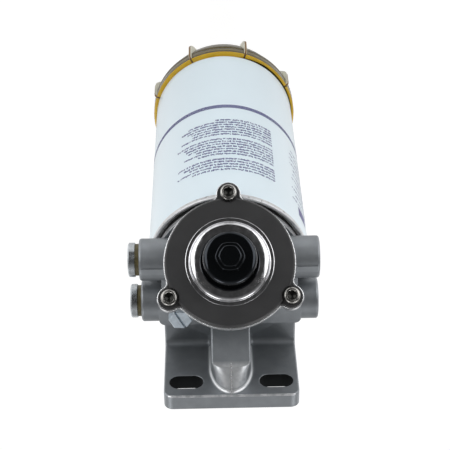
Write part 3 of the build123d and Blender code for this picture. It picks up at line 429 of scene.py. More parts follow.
def turned_metal(
    name, colour, roughness, metallic=1.0, ring_size=0.18, depth=0.012, place=None, edge=0.12
):
    """Turned or plated metal with fine rings round an axis and slight blotches."""
    finish = Finish(name, colour, roughness, metallic)
    rings = finish.node("ShaderNodeTexNoise", noise_dimensions="1D")
    rings.inputs["Scale"].default_value = 1000 / ring_size
    finish.link(finish.radius(finish.axes(place)), rings.inputs["W"])
    blotch = finish.noise(3.5)
    finish.colour(finish.mottle(blotch, 0.35, 0.65, toned(colour, 0.82), colour))
    finish.roughness(finish.spread(blotch, 0.3, 0.7, roughness - 0.04, roughness + 0.06))
    finish.relief((rings.outputs["Fac"], depth), edge=edge)
    return finish.material


def white_enamel(settings):
    """Gloss enamel on drawn steel with a trace of orange peel."""
    colour = settings.colour[:]
    finish = Finish("white_enamel", colour, roughness=0.28)
    finish.set("Coat Weight", 0.35)
    finish.set("Coat Roughness", 0.12)
    cloud = finish.noise(38.0, 2.0)
    finish.colour(finish.mottle(cloud, 0.1, 0.9, toned(colour, 0.985), colour))
    finish.roughness(finish.spread(cloud, 0.1, 0.9, 0.27, 0.31))
    finish.relief((finish.noise(0.5, 2.0), 0.0015))
    return finish.material


def print_ink(name, colour):
    """Screen print ink, a little uneven in its cover."""
    finish = Finish(name, colour, roughness=0.42)
    finish.colour(finish.mottle(finish.noise(0.5), 0.45, 0.75, colour, toned(colour, 1.5, 0.05)))
    finish.relief((finish.noise(0.3), 0.003))
    return finish.material


def rubber(name, colour, roughness=0.62):
    """Moulded rubber, dull with a faint bloom."""
    finish = Finish(name, colour, roughness)
    finish.colour(finish.mottle(finish.noise(2.2), 0.45, 0.75, colour, toned(colour, 1.6, 0.004)))
    finish.relief((finish.noise(0.4, 2.0), 0.012), edge=0.2)
    return finish.material


def off_fins(finish, axes, radius):
    """Distance from the middle plane of the nearest fin."""
    pitch = 2 * math.pi / FIN_COUNT
    around = finish.math("ARCTAN2", axes[0], finish.math("MULTIPLY", axes[1], -1))
    turns = finish.math("MULTIPLY", finish.math("ADD", around, math.radians(FIN_ANGLE)), 1 / pitch)
    share = finish.math("ABSOLUTE", finish.math("SUBTRACT", turns, finish.math("ROUND", turns)))
    return finish.math("MULTIPLY", share, finish.math("MULTIPLY", radius, pitch))


def clear_amber(settings):
    """Clear moulding: amber on its rim, with painted shade on its side, a painted highlight line along
    it, and painted shade in dark notches where the fins' edges cross the rim.
    """
    rim_colour, shaded_side_colour = settings.colour[:], settings.shaded_side_colour[:]
    finish = Finish("clear_amber", rim_colour, roughness=0.2)
    finish.set("Transmission Weight", settings.clearness)
    finish.set("IOR", 1.5)
    finish.set("Coat Weight", 0.08)
    axes = finish.axes(can_place)
    radius, height = finish.radius(axes), finish.math("SUBTRACT", axes[2], bowl_flange_top)
    cloud = finish.noise(6.0, 2.0)
    amber = finish.mottle(cloud, 0.2, 0.8, rim_colour, toned(rim_colour, 0.88))
    # Painted shade: the side's dull colour stands for the amber in shade.
    side = finish.mottle(cloud, 0.2, 0.8, shaded_side_colour, toned(shaded_side_colour, 1.15))
    # Painted highlight: a lighter line along the side just under the rim.
    side = finish.blend(finish.between(height, *BRIGHT_LINE), side, srgb(152, 138, 86))
    body = finish.blend(finish.above(height, RIM_TOP), side, amber)
    # Painted shade: dark notches across the rim where the fins' edges meet it.
    fin_edge_shade = finish.all_of(
        finish.below(off_fins(finish, axes, radius), NOTCH_HALF_WIDTH),
        finish.above(radius, NOTCH_RADIUS),
        finish.above(height, NOTCH_FOOT),
    )
    finish.colour(finish.blend(fin_edge_shade, body, srgb(104, 74, 34)))
    finish.roughness(finish.spread(finish.noise(3.0, 2.0), 0.3, 0.7, 0.16, 0.26))
    finish.relief((cloud, 0.02), edge=0.4)
    return finish.material


def cream_fin(settings):
    """Thin fin of the same moulding: cream flanks, with painted shade in brown along its edge faces."""
    colour = settings.fin_colour[:]
    finish = Finish("cream_fin", colour, roughness=0.28)
    finish.set("Transmission Weight", 0.1)
    finish.set("IOR", 1.5)
    axes = finish.axes(can_place)
    off = off_fins(finish, axes, finish.radius(axes))
    flank = finish.mottle(finish.noise(5.0, 2.0), 0.2, 0.8, colour, srgb(226, 222, 196))
    # Painted shade: brown on the fin's edge faces, cream on its flanks.
    finish.colour(finish.mottle(off, 0.65 * MM, 0.85 * MM, srgb(128, 92, 44), flank))
    finish.relief((finish.noise(3.0, 2.0), 0.01), edge=0.2)
    return finish.material


def pleated_paper():
    """Resin treated filter paper with a fibrous face."""
    finish = Finish("pleated_paper", srgb(214, 190, 140), roughness=0.85)
    fibre = finish.noise(0.6, 5.0, stretch=(1, 1, 0.25))
    finish.colour(finish.mottle(fibre, 0.35, 0.65, srgb(196, 168, 118), srgb(224, 204, 160)))
    finish.relief((fibre, 0.05))
    return finish.material


def tin_plate():
    """Tin plated sheet, softly brushed along its length."""
    colour = (0.62, 0.63, 0.64, 1.0)
    finish = Finish("tin_plate", colour, roughness=0.3, metallic=1.0)
    brushed = finish.noise(0.8, stretch=(1, 1, 0.08))
    finish.colour(finish.mottle(finish.noise(9.0), 0.35, 0.65, toned(colour, 0.86), colour))
    finish.roughness(finish.spread(brushed, 0.3, 0.7, 0.24, 0.4))
    finish.relief((brushed, 0.008), edge=0.15)
    return finish.material


def circle(angle):
    """Radius of a circle of unit radius."""
    return 1.0


def seal_gap(angle):
    """Circle that opens at the side away from the plugs, where the seal shows in the gap."""
    return 1 + SEAL_GAP * min(1, SEAL_GAP_SPREAD * max(0, -math.cos(angle)))


def hexagon(angle):
    """Radius of a hexagon whose flats lie at unit distance from its middle."""
    turned = (angle + math.pi / 6) % (math.pi / 3) - math.pi / 6
    return 1 / math.cos(turned)


def soft_hexagon(angle):
    """Hexagon with corners worn round, one of them on the X axis."""
    sharpness = 0.38
    return (1 - sharpness) + sharpness * hexagon(angle + math.pi / 6)


def rounded(points, radius, steps=4):
    """Outline of (r, z) points with each inner corner rounded to this radius."""
    most_of_side = 0.45
    smooth = [Vector(points[0])]
    for before, corner, after in zip(points, points[1:], points[2:]):
        before, corner, after = Vector(before), Vector(corner), Vector(after)
        shortest = min((before - corner).length, (after - corner).length)
        reach = min(radius, shortest * most_of_side)
        start = corner + (before - corner).normalized() * reach
        end = corner + (after - corner).normalized() * reach
        for step in range(steps + 1):
            share = step / steps
            first = start.lerp(corner, share)
            smooth.append(first.lerp(corner.lerp(end, share), share))
    smooth.append(Vector(points[-1]))
    return smooth


def bowed(start, middle, end, steps):
    """Points along the circular arc through three (r, z) points."""
    first, second, third = Vector(start), Vector(middle), Vector(end)
    cross = 2 * (second - first).cross(third - first)
    near, far = (second - first).length_squared, (third - first).length_squared
    across, along = second - first, third - first
    centre = first + Vector((along.y * near - across.y * far, across.x * far - along.x * near)) / cross
    arm = first - centre
    sweep = arm.angle_signed(third - centre)
    return [tuple(centre + Matrix.Rotation(-sweep * step / steps, 2) @ arm) for step in range(steps + 1)]


def finished(piece, body, material, sharp=35):
    """Puts a new piece on its body with its finish, smooth up to a crease angle."""
    piece.data.materials.append(material)
    for face in piece.data.polygons:
        face.use_smooth = True
    crease_edges(piece.data, sharp)
    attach(piece, body)


def crease_edges(mesh, degrees):
    """Marks the edges that turn by more than an angle as sharp."""
    shape = bmesh.new()
    shape.from_mesh(mesh)
    for edge in shape.edges:
        edge.smooth = len(edge.link_faces) == 2 and edge.calc_face_angle(0) < math.radians(degrees)
    shape.to_mesh(mesh)
    shape.free()


def object_from(name, shape):
    """Blender object from a bmesh, with its normals facing out."""
    bmesh.ops.recalc_face_normals(shape, faces=shape.faces)
    mesh = bpy.data.meshes.new(name)
    shape.to_mesh(mesh)
    shape.free()
    made = bpy.data.objects.new(name, mesh)
    bpy.context.scene.collection.objects.link(made)
    return made


def add_rings(shape, rings, place, steps=96, closed=False):
    """Skins rings of (outline, size, height) one above the other; a size of 0 is a tip."""
    loops = []
    for outline, size, height in rings:
        if size <= 0:
            loops.append([shape.verts.new(place @ Vector((0, 0, height)))])
            continue
        loop = []
        for step in range(steps):
            angle = 2 * math.pi * step / steps
            reach = size * outline(angle)
            point = Vector((reach * math.cos(angle), reach * math.sin(angle), height))
            loop.append(shape.verts.new(place @ point))
        loops.append(loop)
    pairs = list(zip(loops, loops[1:]))
    if closed:
        pairs.append((loops[-1], loops[0]))
    for lower, upper in pairs:
        for step in range(steps):
            after = (step + 1) % steps
            if len(lower) == 1 and len(upper) > 1:
                shape.faces.new((lower[0], upper[after], upper[step]))
            elif len(upper) == 1 and len(lower) > 1:
                shape.faces.new((lower[step], lower[after], upper[0]))
            elif len(lower) > 1:
                shape.faces.new((lower[step], lower[after], upper[after], upper[step]))


def spun(name, profile, place, steps=96, closed=False):
    """Body of revolution about the place's Z axis from an (r, z) outline."""
    shape = bmesh.new()
    add_rings(shape, [(circle, point[0], point[1]) for point in profile], place, steps, closed)
    return object_from(name, shape)


def flats(name, rectangles, radius, place):
    """Print lying on a cylinder: rectangles of (angle from, angle to, height from, height to)."""
    shape = bmesh.new()
    for start, end, low, high in rectangles:
        count = max(1, math.ceil(math.degrees(abs(end - start)) / PRINT_FACET))
        column = []
        for step in range(count + 1):
            angle = start + (end - start) * step / count
            across = (radius * math.sin(angle), -radius * math.cos(angle))
            column.append((shape.verts.new(place @ Vector((*across, low))),
                           shape.verts.new(place @ Vector((*across, high)))))
        for left, right in zip(column, column[1:]):
            shape.faces.new((left[0], right[0], right[1], left[1]))
    made = object_from(name, shape)
    middle = place.to_translation()
    for face in made.data.polygons:
        outwards = face.center - middle
        outwards.z = 0
        if face.normal.dot(outwards) < 0:
            face.flip()
    return made


def coat(node, material):
    """Gives a CAD node its finish."""
    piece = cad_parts[node]
    piece.data.materials.clear()
    piece.data.materials.append(material)


class StageSettings(PropertyGroup):
    lens: FloatProperty(
        name="Lens", description="Focal length on a 36 mm frame", default=96.59, unit="CAMERA"
    )
    camera_place: FloatVectorProperty(
        name="Camera place", description="Where the camera stands",
        size=3, default=(0.00879, -0.54935, 0.61029), subtype="TRANSLATION",
    )
    elevation: FloatProperty(
        name="Elevation", description="How steeply the camera looks down",
        default=math.radians(55.954), subtype="ANGLE",
    )
    swing: FloatProperty(
        name="Swing", description="How far the view turns from the front",
        default=math.radians(0.820), subtype="ANGLE",
    )
    roll: FloatProperty(
        name="Roll", description="How far the camera is rolled",
        default=math.radians(178.258), subtype="ANGLE",
    )
    floor_colour: FloatVectorProperty(
        name="Floor", description="Colour of the floor",
        size=4, default=(0.93, 0.93, 0.93, 1), min=0, max=1, subtype="COLOR",
    )
    floor_shine: FloatProperty(
        name="Floor shine", description="How bright gloss shows the floor beside the object",
        default=0.9, min=0, max=1,
    )
    sky_bright: FloatProperty(name="Bright sky", description="Light from the wall's side", default=0.6)
    sky_dark: FloatProperty(name="Dark sky", description="Light from the front", default=0.062)
    side_light: FloatProperty(
        name="Side light", description="Power of each side lamp", default=7.6, unit="POWER"
    )
    back_light: FloatProperty(
        name="Back light", description="Power of each lamp behind", default=2.4, unit="POWER"
    )


class HeadSettings(PropertyGroup):
    colour: FloatVectorProperty(
        name="Casting", description="Colour of the die casting",
        size=4, default=srgb(142, 146, 150), min=0, max=1, subtype="COLOR",
    )


class PumpSettings(PropertyGroup):
    cover_colour: FloatVectorProperty(
        name="Cover", description="Colour of the pump cover",
        size=4, default=srgb(46, 46, 47), min=0, max=1, subtype="COLOR",
    )
    knob_radius: FloatProperty(
        name="Knob", description="Radius of the knob", default=17.1 * MM, unit="LENGTH"
    )
    knob_height: FloatProperty(
        name="Knob height", description="Height of the knob's shoulder", default=22.0 * MM, unit="LENGTH"
    )
    bezel_radius: FloatProperty(
        name="Bezel", description="Radius of the polished ring", default=28.5 * MM, unit="LENGTH"
    )


class CanSettings(PropertyGroup):
    colour: FloatVectorProperty(
        name="Enamel", description="Colour of the can",
        size=4, default=srgb(224, 239, 247), min=0, max=1, subtype="COLOR",
    )
    ink: FloatVectorProperty(
        name="Ink", description="Colour of the print",
        size=4, default=srgb(52, 48, 116), min=0, max=1, subtype="COLOR",
    )
    row_pitch: FloatProperty(
        name="Row pitch", description="Distance between printed rows", default=3.43 * MM, unit="LENGTH"
    )
    seed: IntProperty(name="Seed", description="Choice of stroke lengths", default=11)


class BowlSettings(PropertyGroup):
    colour: FloatVectorProperty(
        name="Amber", description="Colour of the bowl's rim",
        size=4, default=srgb(244, 196, 40), min=0, max=1, subtype="COLOR",
    )
    # Painted shade: the side's dull colour stands for the amber in shade.
    shaded_side_colour: FloatVectorProperty(
        name="Side", description="Colour of the bowl's side",
        size=4, default=srgb(92, 80, 44), min=0, max=1, subtype="COLOR",
    )
    fin_colour: FloatVectorProperty(
        name="Fins", description="Colour of the thin fins",
        size=4, default=srgb(244, 244, 230), min=0, max=1, subtype="COLOR",
    )
    clearness: FloatProperty(
        name="Clearness", description="Share of light that goes through", default=0.25
    )


class SEPARATOR_OT_stage(Operator):
    """Set up the floor, the soft lamps, the sky and the camera"""

    bl_idname = "separator.stage"
    bl_label = "Stage"

    def execute(self, context):
        settings = context.scene.separator_stage
        scene = context.scene
        scene.view_settings.view_transform = "Standard"
        self.place_camera(scene, settings)
        self.lay_floor(settings)
        self.light_sky(scene, settings)
        aim = Vector((0, can_axis_y, -0.1))
        for side, turn in (("left", 1), ("right", -1)):
            self.hang_lamp(f"lamp_{side}", (0.83 * turn, -0.86, 0.3), aim, 1.0, settings.side_light)
            self.hang_lamp(f"lamp_back_{side}", (0.6 * turn, 0.6, 0.75), aim, 0.5, settings.back_light)
        return {"FINISHED"}

    def place_camera(self, scene, settings):
        """Camera where the photograph was taken from."""
        camera = bpy.data.cameras.new("camera")
        camera.lens = settings.lens
        camera.sensor_width = 36
        camera.clip_start = 0.01
        holder = bpy.data.objects.new("camera", camera)
        scene.collection.objects.link(holder)
        swing = Matrix.Rotation(settings.swing, 4, "Z")
        tilt = Matrix.Rotation(math.pi / 2 - settings.elevation, 4, "X")
        roll = Matrix.Rotation(settings.roll, 4, "Z")
        holder.matrix_world = Matrix.Translation(settings.camera_place) @ swing @ tilt @ roll
        scene.camera = holder

    def lay_floor(self, settings):
        """Pale disc that the camera and, beside the object, gloss see brighter than the lamps make it."""
        shape = bmesh.new()
        bmesh.ops.create_circle(shape, cap_ends=True, radius=FLOOR_RADIUS, segments=96)
        floor = object_from("floor", shape)
        floor.location.z = cad_low[2] - FLOOR_DROP
        finish = Finish("pale_floor", settings.floor_colour[:], roughness=0.9)
        finish.colour(finish.blend(finish.noise(60.0), settings.floor_colour[:], (0.94, 0.94, 0.94, 1)))
        path = finish.node("ShaderNodeLightPath")
        glow = finish.node("ShaderNodeEmission")
        glow.inputs["Strength"].default_value = FLOOR_GLOW
        seen = finish.any_of(path.outputs["Is Camera Ray"], path.outputs["Is Transmission Ray"])
        sideways = finish.math("ABSOLUTE", finish.axes()[0])
        beside = finish.spread(sideways, *FLOOR_BESIDE, 0.0, settings.floor_shine)
        mirrored = finish.all_of(path.outputs["Is Glossy Ray"], beside)
        mixed = finish.node("ShaderNodeMixShader")
        share = finish.any_of(finish.math("MULTIPLY", seen, FLOOR_GLOW_SEEN), mirrored)
        finish.link(share, mixed.inputs[0])
        finish.link(finish.shader.outputs[0], mixed.inputs[1])
        finish.link(glow.outputs[0], mixed.inputs[2])
        finish.link(mixed.outputs[0], finish.output.inputs["Surface"])
        floor.data.materials.append(finish.material)

    def light_sky(self, scene, settings):
        """Sky that brightens from the front to the wall's side, and is white to the camera."""
        world = bpy.data.worlds.new("sky")
        world.use_nodes = True
        tree = world.node_tree
        tree.nodes.clear()
        place = tree.nodes.new("ShaderNodeTexCoord")
        toward = tree.nodes.new("ShaderNodeVectorMath")
        toward.operation = "DOT_PRODUCT"
        toward.inputs[1].default_value = SKY_DIRECTION
        tree.links.new(place.outputs["Generated"], toward.inputs[0])
        fade = tree.nodes.new("ShaderNodeMapRange")
        fade.interpolation_type = "SMOOTHSTEP"
        fade.inputs["From Min"].default_value, fade.inputs["From Max"].default_value = SKY_FADE
        fade.inputs["To Min"].default_value = settings.sky_dark
        fade.inputs["To Max"].default_value = settings.sky_bright
        tree.links.new(toward.outputs["Value"], fade.inputs["Value"])
        path = tree.nodes.new("ShaderNodeLightPath")
        seen = tree.nodes.new("ShaderNodeMix")
        tree.links.new(path.outputs["Is Camera Ray"], seen.inputs[0])
        tree.links.new(fade.outputs[0], seen.inputs[2])
        seen.inputs[3].default_value = 1.0
        background = tree.nodes.new("ShaderNodeBackground")
        tree.links.new(seen.outputs[0], background.inputs["Strength"])
        output = tree.nodes.new("ShaderNodeOutputWorld")
        tree.links.new(background.outputs[0], output.inputs[0])
        scene.world = world

    def hang_lamp(self, name, place, aim, size, power):
        """Square lamp that faces a point."""
        lamp = bpy.data.lights.new(name, "AREA")
        lamp.shape = "SQUARE"
        lamp.size = size
        lamp.energy = power
        holder = bpy.data.objects.new(name, lamp)
        bpy.context.scene.collection.objects.link(holder)
        holder.location = place
        holder.rotation_euler = (aim - Vector(place)).to_track_quat("-Z", "Y").to_euler()


class SEPARATOR_OT_head(Operator):
    """Finish the head casting"""

    bl_idname = "separator.head"
    bl_label = "Head casting"

    def execute(self, context):
        coat("head_casting", die_cast(context.scene.separator_head))
        return {"FINISHED"}


class SEPARATOR_OT_fittings(Operator):
    """Finish the port plugs, the bleed screw and their seals"""

    bl_idname = "separator.fittings"
    bl_label = "Plugs and bleed screw"

    def execute(self, context):
        zinc = turned_metal("zinc_plate", (0.52, 0.55, 0.57, 1), 0.25, ring_size=0.5, depth=0.006)
        dull = turned_metal("dull_zinc", srgb(198, 209, 218), 0.42, 0.35, ring_size=0.6, depth=0.01)
        coat("port_plugs", zinc)
        coat("port_plug_seals", rubber("olive_rubber", srgb(84, 76, 44), 0.45))
        coat("bleed_screw", dull)
        coat("bleed_seal", rubber("seal_rubber", srgb(38, 38, 38)))
        return {"FINISHED"}


class SEPARATOR_OT_pump(Operator):
    """Make the pump's bezel, knob, spring and cover screws, and finish its other parts"""

    bl_idname = "separator.pump"
    bl_label = "Primer pump"

    def execute(self, context):
        settings = context.scene.separator_pump
        coat("pump_cover", satin_black("satin_cover", settings.cover_colour[:], 0.4, 0.012))
        polished = turned_metal(
            "polished_rim", (0.7, 0.7, 0.72, 1), 0.13,
            ring_size=0.4, depth=0.0012, place=pump_place, edge=0,
        )
        self.make_bezel(settings, polished)
        self.make_knob(settings)
        self.make_screws()
        steel = turned_metal("bright_steel", (0.56, 0.55, 0.53, 1), 0.3)
        for node in ("pump_stem", "diaphragm_washers"):
            coat(node, steel)
        self.make_spring(settings, turned_metal("spring_wire", (0.5, 0.5, 0.52, 1), 0.25))
        black_rubber = rubber("pump_rubber", srgb(34, 34, 35))
        for node in ("pump_diaphragm", "inlet_valve", "outlet_valve"):
            coat(node, black_rubber)
        coat("valve_plate", satin_black("valve_moulding", srgb(52, 52, 50), 0.5, 0.01))
        return {"FINISHED"}

    def make_bezel(self, settings, polished):
        """Ring from an outline in mm: how far in from its foot, and how high over the cover."""
        outer = [(0, 0.02), (0, 0.4), (0.2, 0.55), (0.5, 0.6), (2.0, 0.56), (2.5, 0.6), (2.75, 0.8)]
        crest = [(2.9, 1.2), (3.2, 1.85), (3.6, 2.3), (4.2, 2.72), (4.9, 3.03), (5.7, 3.22), (6.6, 3.33)]
        lip = [(7.7, 3.38), (9.1, 3.39), (9.7, 3.3), (10.0, 3.05), (10.0, 2.3), (9.6, 2.2)]
        inner = [(7.6, 2.3), (6.2, 2.0), (4.9, 1.4), (3.8, 0.6), (3.3, 0.1), (1.2, 0.02)]
        outline = [
            (settings.bezel_radius - inwards * MM, cover_top + rise * MM)
            for inwards, rise in outer + crest + lip + inner
        ]
        ring = spun("bezel_ring", rounded(outline, 0.2 * MM, 2), pump_place, 128, closed=True)
        finished(ring, HOUSING, polished, 60)
        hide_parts("pump_bezel")

    def make_knob(self, settings):
        """Hollow cap with a foot flange, a round shoulder and a worn hexagon on its top."""
        gloss = satin_black(
            "gloss_black", srgb(7, 8, 9), 0.08, grain_depth=0.002, edge=0.1, shine=srgb(215, 226, 240)
        )
        radius, top = settings.knob_radius, settings.knob_height
        inside, ceiling = radius - knob_wall, top - knob_wall
        flange = radius + 1.9 * MM
        flange_low, flange_high = 4.6 * MM, 5.6 * MM
        corner = 0.3 * MM
        shoulder = 3.0 * MM
        outline = [
            (0, ceiling), (inside - corner, ceiling), (inside, ceiling - corner), (inside, flange_low),
            (flange, flange_low), (flange, flange_high), (radius, flange_high),
            (radius, top - 2 * shoulder),
        ]
        for step in range(10):
            turn = math.radians(10 * step)
            inwards, down = shoulder * (1 - math.cos(turn)), shoulder * (1 - math.sin(turn))
            outline.append((radius - inwards, top - down))
        outline += [(radius - 3.6 * MM, top), (9.9 * MM, top + 0.02 * MM), (9.5 * MM, top + 0.03 * MM)]
        rings = [(circle, *point) for point in outline]
        boss = [
            (8.9, 0.05), (8.9, 0.3), (8.8, 4.6), (8.6, 4.9), (8.4, 5.0), (8.2, 5.0), (7.0, 5.0),
            (6.8, 5.05), (6.7, 5.3), (6.5, 6.1), (6.3, 6.25), (6.1, 6.3), (5.9, 6.3), (4.0, 6.3),
        ]
        rings += [(soft_hexagon, size * MM, top + rise * MM) for size, rise in boss]
        rings.append((circle, 0, top + boss[-1][1] * MM))
        shape = bmesh.new()
        add_rings(shape, rings, pump_place)
        knob = object_from("knob_button", shape)
        finished(knob, "pump_button", gloss, 40)
        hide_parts("pump_knob")

    def make_spring(self, settings, finish):
        """Coil between the cover's well and the knob's ceiling."""
        ceiling = settings.knob_height - knob_wall
        coil_radius, wire_radius, clearance = 12.0 * MM, 0.9 * MM, 0.05 * MM
        turns, steps, corners = 5, 200, 12
        rise = ceiling - clearance - 2 * wire_radius
        upward = Vector((0, 0, 1))
        shape = bmesh.new()
        loops = []
        for step in range(steps + 1):
            turn = 2 * math.pi * turns * step / steps
            outward = Vector((math.cos(turn), math.sin(turn), 0))
            middle = coil_radius * outward + (wire_radius + rise * step / steps) * upward
            loop = []
            for corner in range(corners):
                tip = 2 * math.pi * corner / corners
                edge = wire_radius * (math.cos(tip) * outward + math.sin(tip) * upward)
                loop.append(shape.verts.new(pump_place @ (middle + edge)))
            loops.append(loop)
        for lower, upper in zip(loops, loops[1:]):
            for corner in range(corners):
                after = (corner + 1) % corners
                shape.faces.new((lower[corner], lower[after], upper[after], upper[corner]))
        shape.faces.new(loops[0])
        shape.faces.new(loops[-1])
        spring = object_from("return_spring", shape)
        finished(spring, HOUSING, finish, 50)
        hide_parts("pump_spring")
        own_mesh(spring)

    def make_screws(self):
        """Three socket screws with knurled heads, each turned a little further in its seat, with painted
        shade inside their sockets.
        """
        steel = turned_metal("screw_steel", (0.43, 0.42, 0.4, 1), 0.24, ring_size=0.3, depth=0.006)
        # Painted shade: the socket's faces are coloured near black.
        socket_shade = turned_metal("socket_shade_steel", (0.03, 0.03, 0.028, 1), 0.3, ring_size=0.3, depth=0.006)
        head, shank, socket = 5.2, 3.0, 2.5
        socket_mouth = 3.2 * MM

        def knurled(angle):
            return 1 + 0.012 * math.cos(36 * angle)

        profile = [
            (circle, 0, -9.0), (circle, 2.6, -9.0), (circle, shank, -8.5), (circle, shank, 0),
            (circle, 0.97 * head, 0.02), (knurled, head, 0.4), (knurled, head, 4.6),
            (circle, 0.975 * head, 5.0), (circle, 0.9 * head, 5.45), (circle, 0.84 * head, 5.6),
            (circle, 3.35, 5.6), (circle, 3.1, 5.35), (hexagon, socket, 4.9), (hexagon, socket, 2.7),
            (circle, 1.4, 2.2), (circle, 0, 1.7),
        ]
        rings = [(outline, size * MM, height * MM) for outline, size, height in profile]
        for number in range(3):
            turn = math.radians(-90 + 120 * number)
            stand = Vector((screw_circle * math.cos(turn), screw_circle * math.sin(turn), screw_seat))
            twist = Matrix.Rotation(math.radians(17 * number), 4, "Z")
            seat = pump_place @ Matrix.Translation(stand) @ twist
            shape = bmesh.new()
            add_rings(shape, rings, seat, 144)
            screw = object_from(f"cap_screw_{number + 1}", shape)
            finished(screw, HOUSING, steel, 40)
            screw.data.materials.append(socket_shade)
            # Faces inside the socket mouth get the painted shade.
            for face in screw.data.polygons:
                face.material_index = int((seat.inverted() @ face.center).xy.length < socket_mouth)
            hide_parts("pump_cover_screws")


class SEPARATOR_OT_can(Operator):
    """Finish the can, its seam and its gasket, and print the can"""

    bl_idname = "separator.can"
    bl_label = "Filter can"

    def execute(self, context):
        settings = context.scene.separator_can
        coat("filter_can", white_enamel(settings))
        coat("can_end_plate", turned_metal(
            "bare_rim", (0.6, 0.61, 0.62, 1), 0.3, 0.6, ring_size=0.6, depth=0.002, place=can_place
        ))
        coat("head_gasket", rubber("gasket_rubber", srgb(26, 26, 26)))
        self.print_can(settings)
        return {"FINISHED"}

    def print_can(self, settings):
        """Stripe of four lines, rows of strokes at the front and the side, and a badge."""
        radius = can_radius + INK_STANDS_OFF
        marks = []
        for low, high in STRIPE_LINES:
            marks.append((-math.pi, math.pi, STRIPE_HEIGHT + low * MM, STRIPE_HEIGHT + high * MM))
        chance = random.Random(settings.seed)
        for row in range(ROW_COUNT):
            if row in BLANK_ROWS:
                continue
            height = FIRST_ROW + row * settings.row_pitch
            right = chance.uniform(*MAIN_RIGHT)
            if row == 0:
                right = FIRST_ROW_RIGHT
            self.strokes(marks, chance, MAIN_LEFT, right, height, MAIN_LETTERS, radius)
            if row % 2:
                continue
            side_right = SIDE_RIGHT - chance.uniform(0, SIDE_SPREAD)
            self.strokes(marks, chance, SIDE_LEFT, side_right, height, SIDE_LETTERS, radius)
        left, right = math.radians(BADGE_LEFT), math.radians(BADGE_RIGHT)
        badge_low = FIRST_ROW + ROW_COUNT * settings.row_pitch
        marks.append((left, right, badge_low, badge_low + BADGE_HEIGHT))
        ink = print_ink("violet_ink", settings.ink[:])
        finished(flats("can_print", marks, radius, can_place), HOUSING, ink)

    def strokes(self, marks, chance, left, right, height, depth, radius):
        """Fills a row from one angle to another with word-long groups of short strokes."""
        at, limit = math.radians(left), math.radians(right)
        while at < limit:
            for stroke in range(chance.choice(WORD_LENGTHS)):
                end = at + chance.uniform(*STROKE_WIDTH) * MM / radius
                if end > limit:
                    return
                low = height - depth / 2 + chance.choice(FOOT_CUTS) * depth
                high = height + depth / 2 - chance.choice(HEAD_CUTS) * depth
                marks.append((at, end, low, high))
                at = end + STROKE_GAP / radius
            at += WORD_GAP / radius


class SEPARATOR_OT_element(Operator):
    """Finish the parts inside the can"""

    bl_idname = "separator.element"
    bl_label = "Filter element"

    def execute(self, context):
        tin = tin_plate()
        for node in (
            "centre_tube", "element_top_cap", "element_bottom_cap", "bowl_ring", "element_spider",
        ):
            coat(node, tin)
        coat("filter_element", pleated_paper())
        coat("element_grommet", rubber("grommet_rubber", srgb(30, 30, 30)))
        coat("can_nipple", turned_metal("nipple_steel", (0.5, 0.5, 0.48, 1), 0.35))
        return {"FINISHED"}


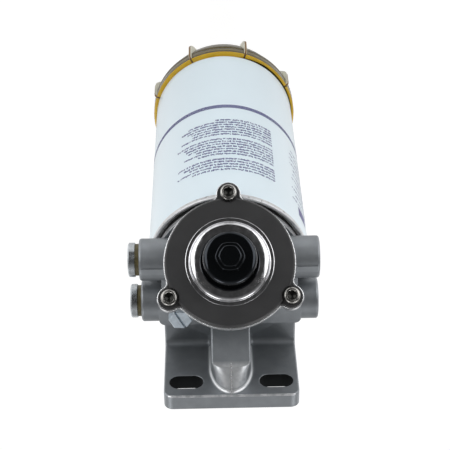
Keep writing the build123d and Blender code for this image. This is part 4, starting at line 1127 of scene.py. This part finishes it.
class SEPARATOR_OT_bowl(Operator):
    """Make the water bowl with its fins, and finish its gasket and drain"""

    bl_idname = "separator.bowl"
    bl_label = "Water bowl"

    def execute(self, context):
        settings = context.scene.separator_bowl
        self.make_body(settings)
        self.make_fins(settings)
        coat("bowl_gasket", rubber("bowl_rubber", srgb(24, 24, 24)))
        coat("drain_valve", satin_black("drain_moulding", srgb(34, 34, 36), 0.45, 0.02))
        coat("drain_seal", rubber("drain_rubber", srgb(28, 28, 28)))
        return {"FINISHED"}

    def make_body(self, settings):
        """Hollow bowl with a neck, a lip round the can and a ledge over the seal.

        Its outline is in mm: the radius, and the height over the flange that the seal lies on.
        """
        seal_side = (gasket_high.x + SEAL_CLEARANCE) / MM
        ledge = seal_side - LEDGE_WIDTH / MM
        boss = [(7.05, -56.6), (7.05, -69), (12, -69), (12.5, -60)]
        belly = bowed((22, -60), (44.3, -37.2), (55.8, -9.5), 24)
        rim = [
            (57.5, -7.8), (57.5, -5.2), (57.1, -4.9), (57.1, -4.5), (57.5, -4.2), (57.5, 2.9),
            (ledge, 2.9), (ledge, 2.68), (seal_side, 2.66), (seal_side, 0),
        ]
        neck = [(40.2, 0), (40.2, 13), (37, 13), (37, -3.4), (52.4, -3.4)]
        hollow = bowed((52.4, -9.5), (41.6, -35.2), (20.9, -56.6), 24)
        outline = [(x * MM, bowl_flange_top + z * MM) for x, z in boss + belly + rim + neck + hollow]
        nearest, furthest = BESIDE_SEAL
        rings = []
        for reach, height in rounded(outline, 0.3 * MM, 2):
            beside_seal = nearest < reach < furthest and height > bowl_flange_top + SEAL_CLEARANCE
            rings.append((seal_gap if beside_seal else circle, reach, height))
        shape = bmesh.new()
        add_rings(shape, rings, can_place, 160, closed=True)
        body = object_from("bowl_body", shape)
        finished(body, HOUSING, clear_amber(settings))
        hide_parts("water_bowl")

    def make_fins(self, settings):
        """Thin fins that stand out of the bowl's side, from an outline like the bowl's."""
        outline = [
            (55.8, 1.4), (58.2, 1.3), (59.0, 0.4), (59.4, -3), (59.4, -16.2), (59.0, -18.6),
            (57.8, -21), (55, -24.4), (50.6, -28.6), (49, -28.2), (51, -21.5), (53.4, -14), (54.5, -8),
        ]
        shape = bmesh.new()
        for number in range(FIN_COUNT):
            turn = math.radians(-FIN_ANGLE - 90 + 360 / FIN_COUNT * number)
            stand = can_place @ Matrix.Rotation(turn, 4, "Z")
            sides = []
            for across in (-FIN_HALF_WIDTH, FIN_HALF_WIDTH):
                points = [stand @ Vector((x * MM, across, bowl_flange_top + z * MM)) for x, z in outline]
                sides.append([shape.verts.new(point) for point in points])
            near, far = sides
            shape.faces.new(near)
            shape.faces.new(far[::-1])
            for step in range(len(outline)):
                after = (step + 1) % len(outline)
                shape.faces.new((near[after], near[step], far[step], far[after]))
        sharp = [edge for edge in shape.edges if edge.calc_face_angle(0) > math.radians(60)]
        bmesh.ops.bevel(shape, geom=sharp, offset=0.3 * MM, segments=2, affect="EDGES")
        fins = object_from("bowl_fins", shape)
        finished(fins, HOUSING, cream_fin(settings), 50)
        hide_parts("water_bowl")


class SEPARATOR_PT_panel(Panel):
    """Sidebar panel with a button and the settings for each group of pieces"""

    bl_idname = "SEPARATOR_PT_panel"
    bl_label = "Fuel water separator"
    bl_space_type = "VIEW_3D"
    bl_region_type = "UI"
    bl_category = "Separator"

    def draw(self, context):
        layout = self.layout
        groups = (
            ("separator_stage", SEPARATOR_OT_stage),
            ("separator_head", SEPARATOR_OT_head),
            (None, SEPARATOR_OT_fittings),
            ("separator_pump", SEPARATOR_OT_pump),
            ("separator_can", SEPARATOR_OT_can),
            (None, SEPARATOR_OT_element),
            ("separator_bowl", SEPARATOR_OT_bowl),
        )
        for group, operator in groups:
            box = layout.box()
            box.operator(operator.bl_idname)
            if group is None:
                continue
            settings = getattr(context.scene, group)
            for name in settings.__annotations__:
                box.prop(settings, name)


SETTINGS = {
    "separator_stage": StageSettings,
    "separator_head": HeadSettings,
    "separator_pump": PumpSettings,
    "separator_can": CanSettings,
    "separator_bowl": BowlSettings,
}
CLASSES = (
    *SETTINGS.values(),
    SEPARATOR_OT_stage,
    SEPARATOR_OT_head,
    SEPARATOR_OT_fittings,
    SEPARATOR_OT_pump,
    SEPARATOR_OT_can,
    SEPARATOR_OT_element,
    SEPARATOR_OT_bowl,
    SEPARATOR_PT_panel,
)


def register():
    for made in CLASSES:
        bpy.utils.register_class(made)
    for name, group in SETTINGS.items():
        setattr(bpy.types.Scene, name, PointerProperty(type=group))


def unregister():
    for name in SETTINGS:
        delattr(bpy.types.Scene, name)
    for made in reversed(CLASSES):
        bpy.utils.unregister_class(made)


def main():
    register()
    bpy.ops.separator.stage()
    bpy.ops.separator.head()
    bpy.ops.separator.fittings()
    bpy.ops.separator.pump()
    bpy.ops.separator.can()
    bpy.ops.separator.element()
    bpy.ops.separator.bowl()


if __name__ == "__main__":
    main()
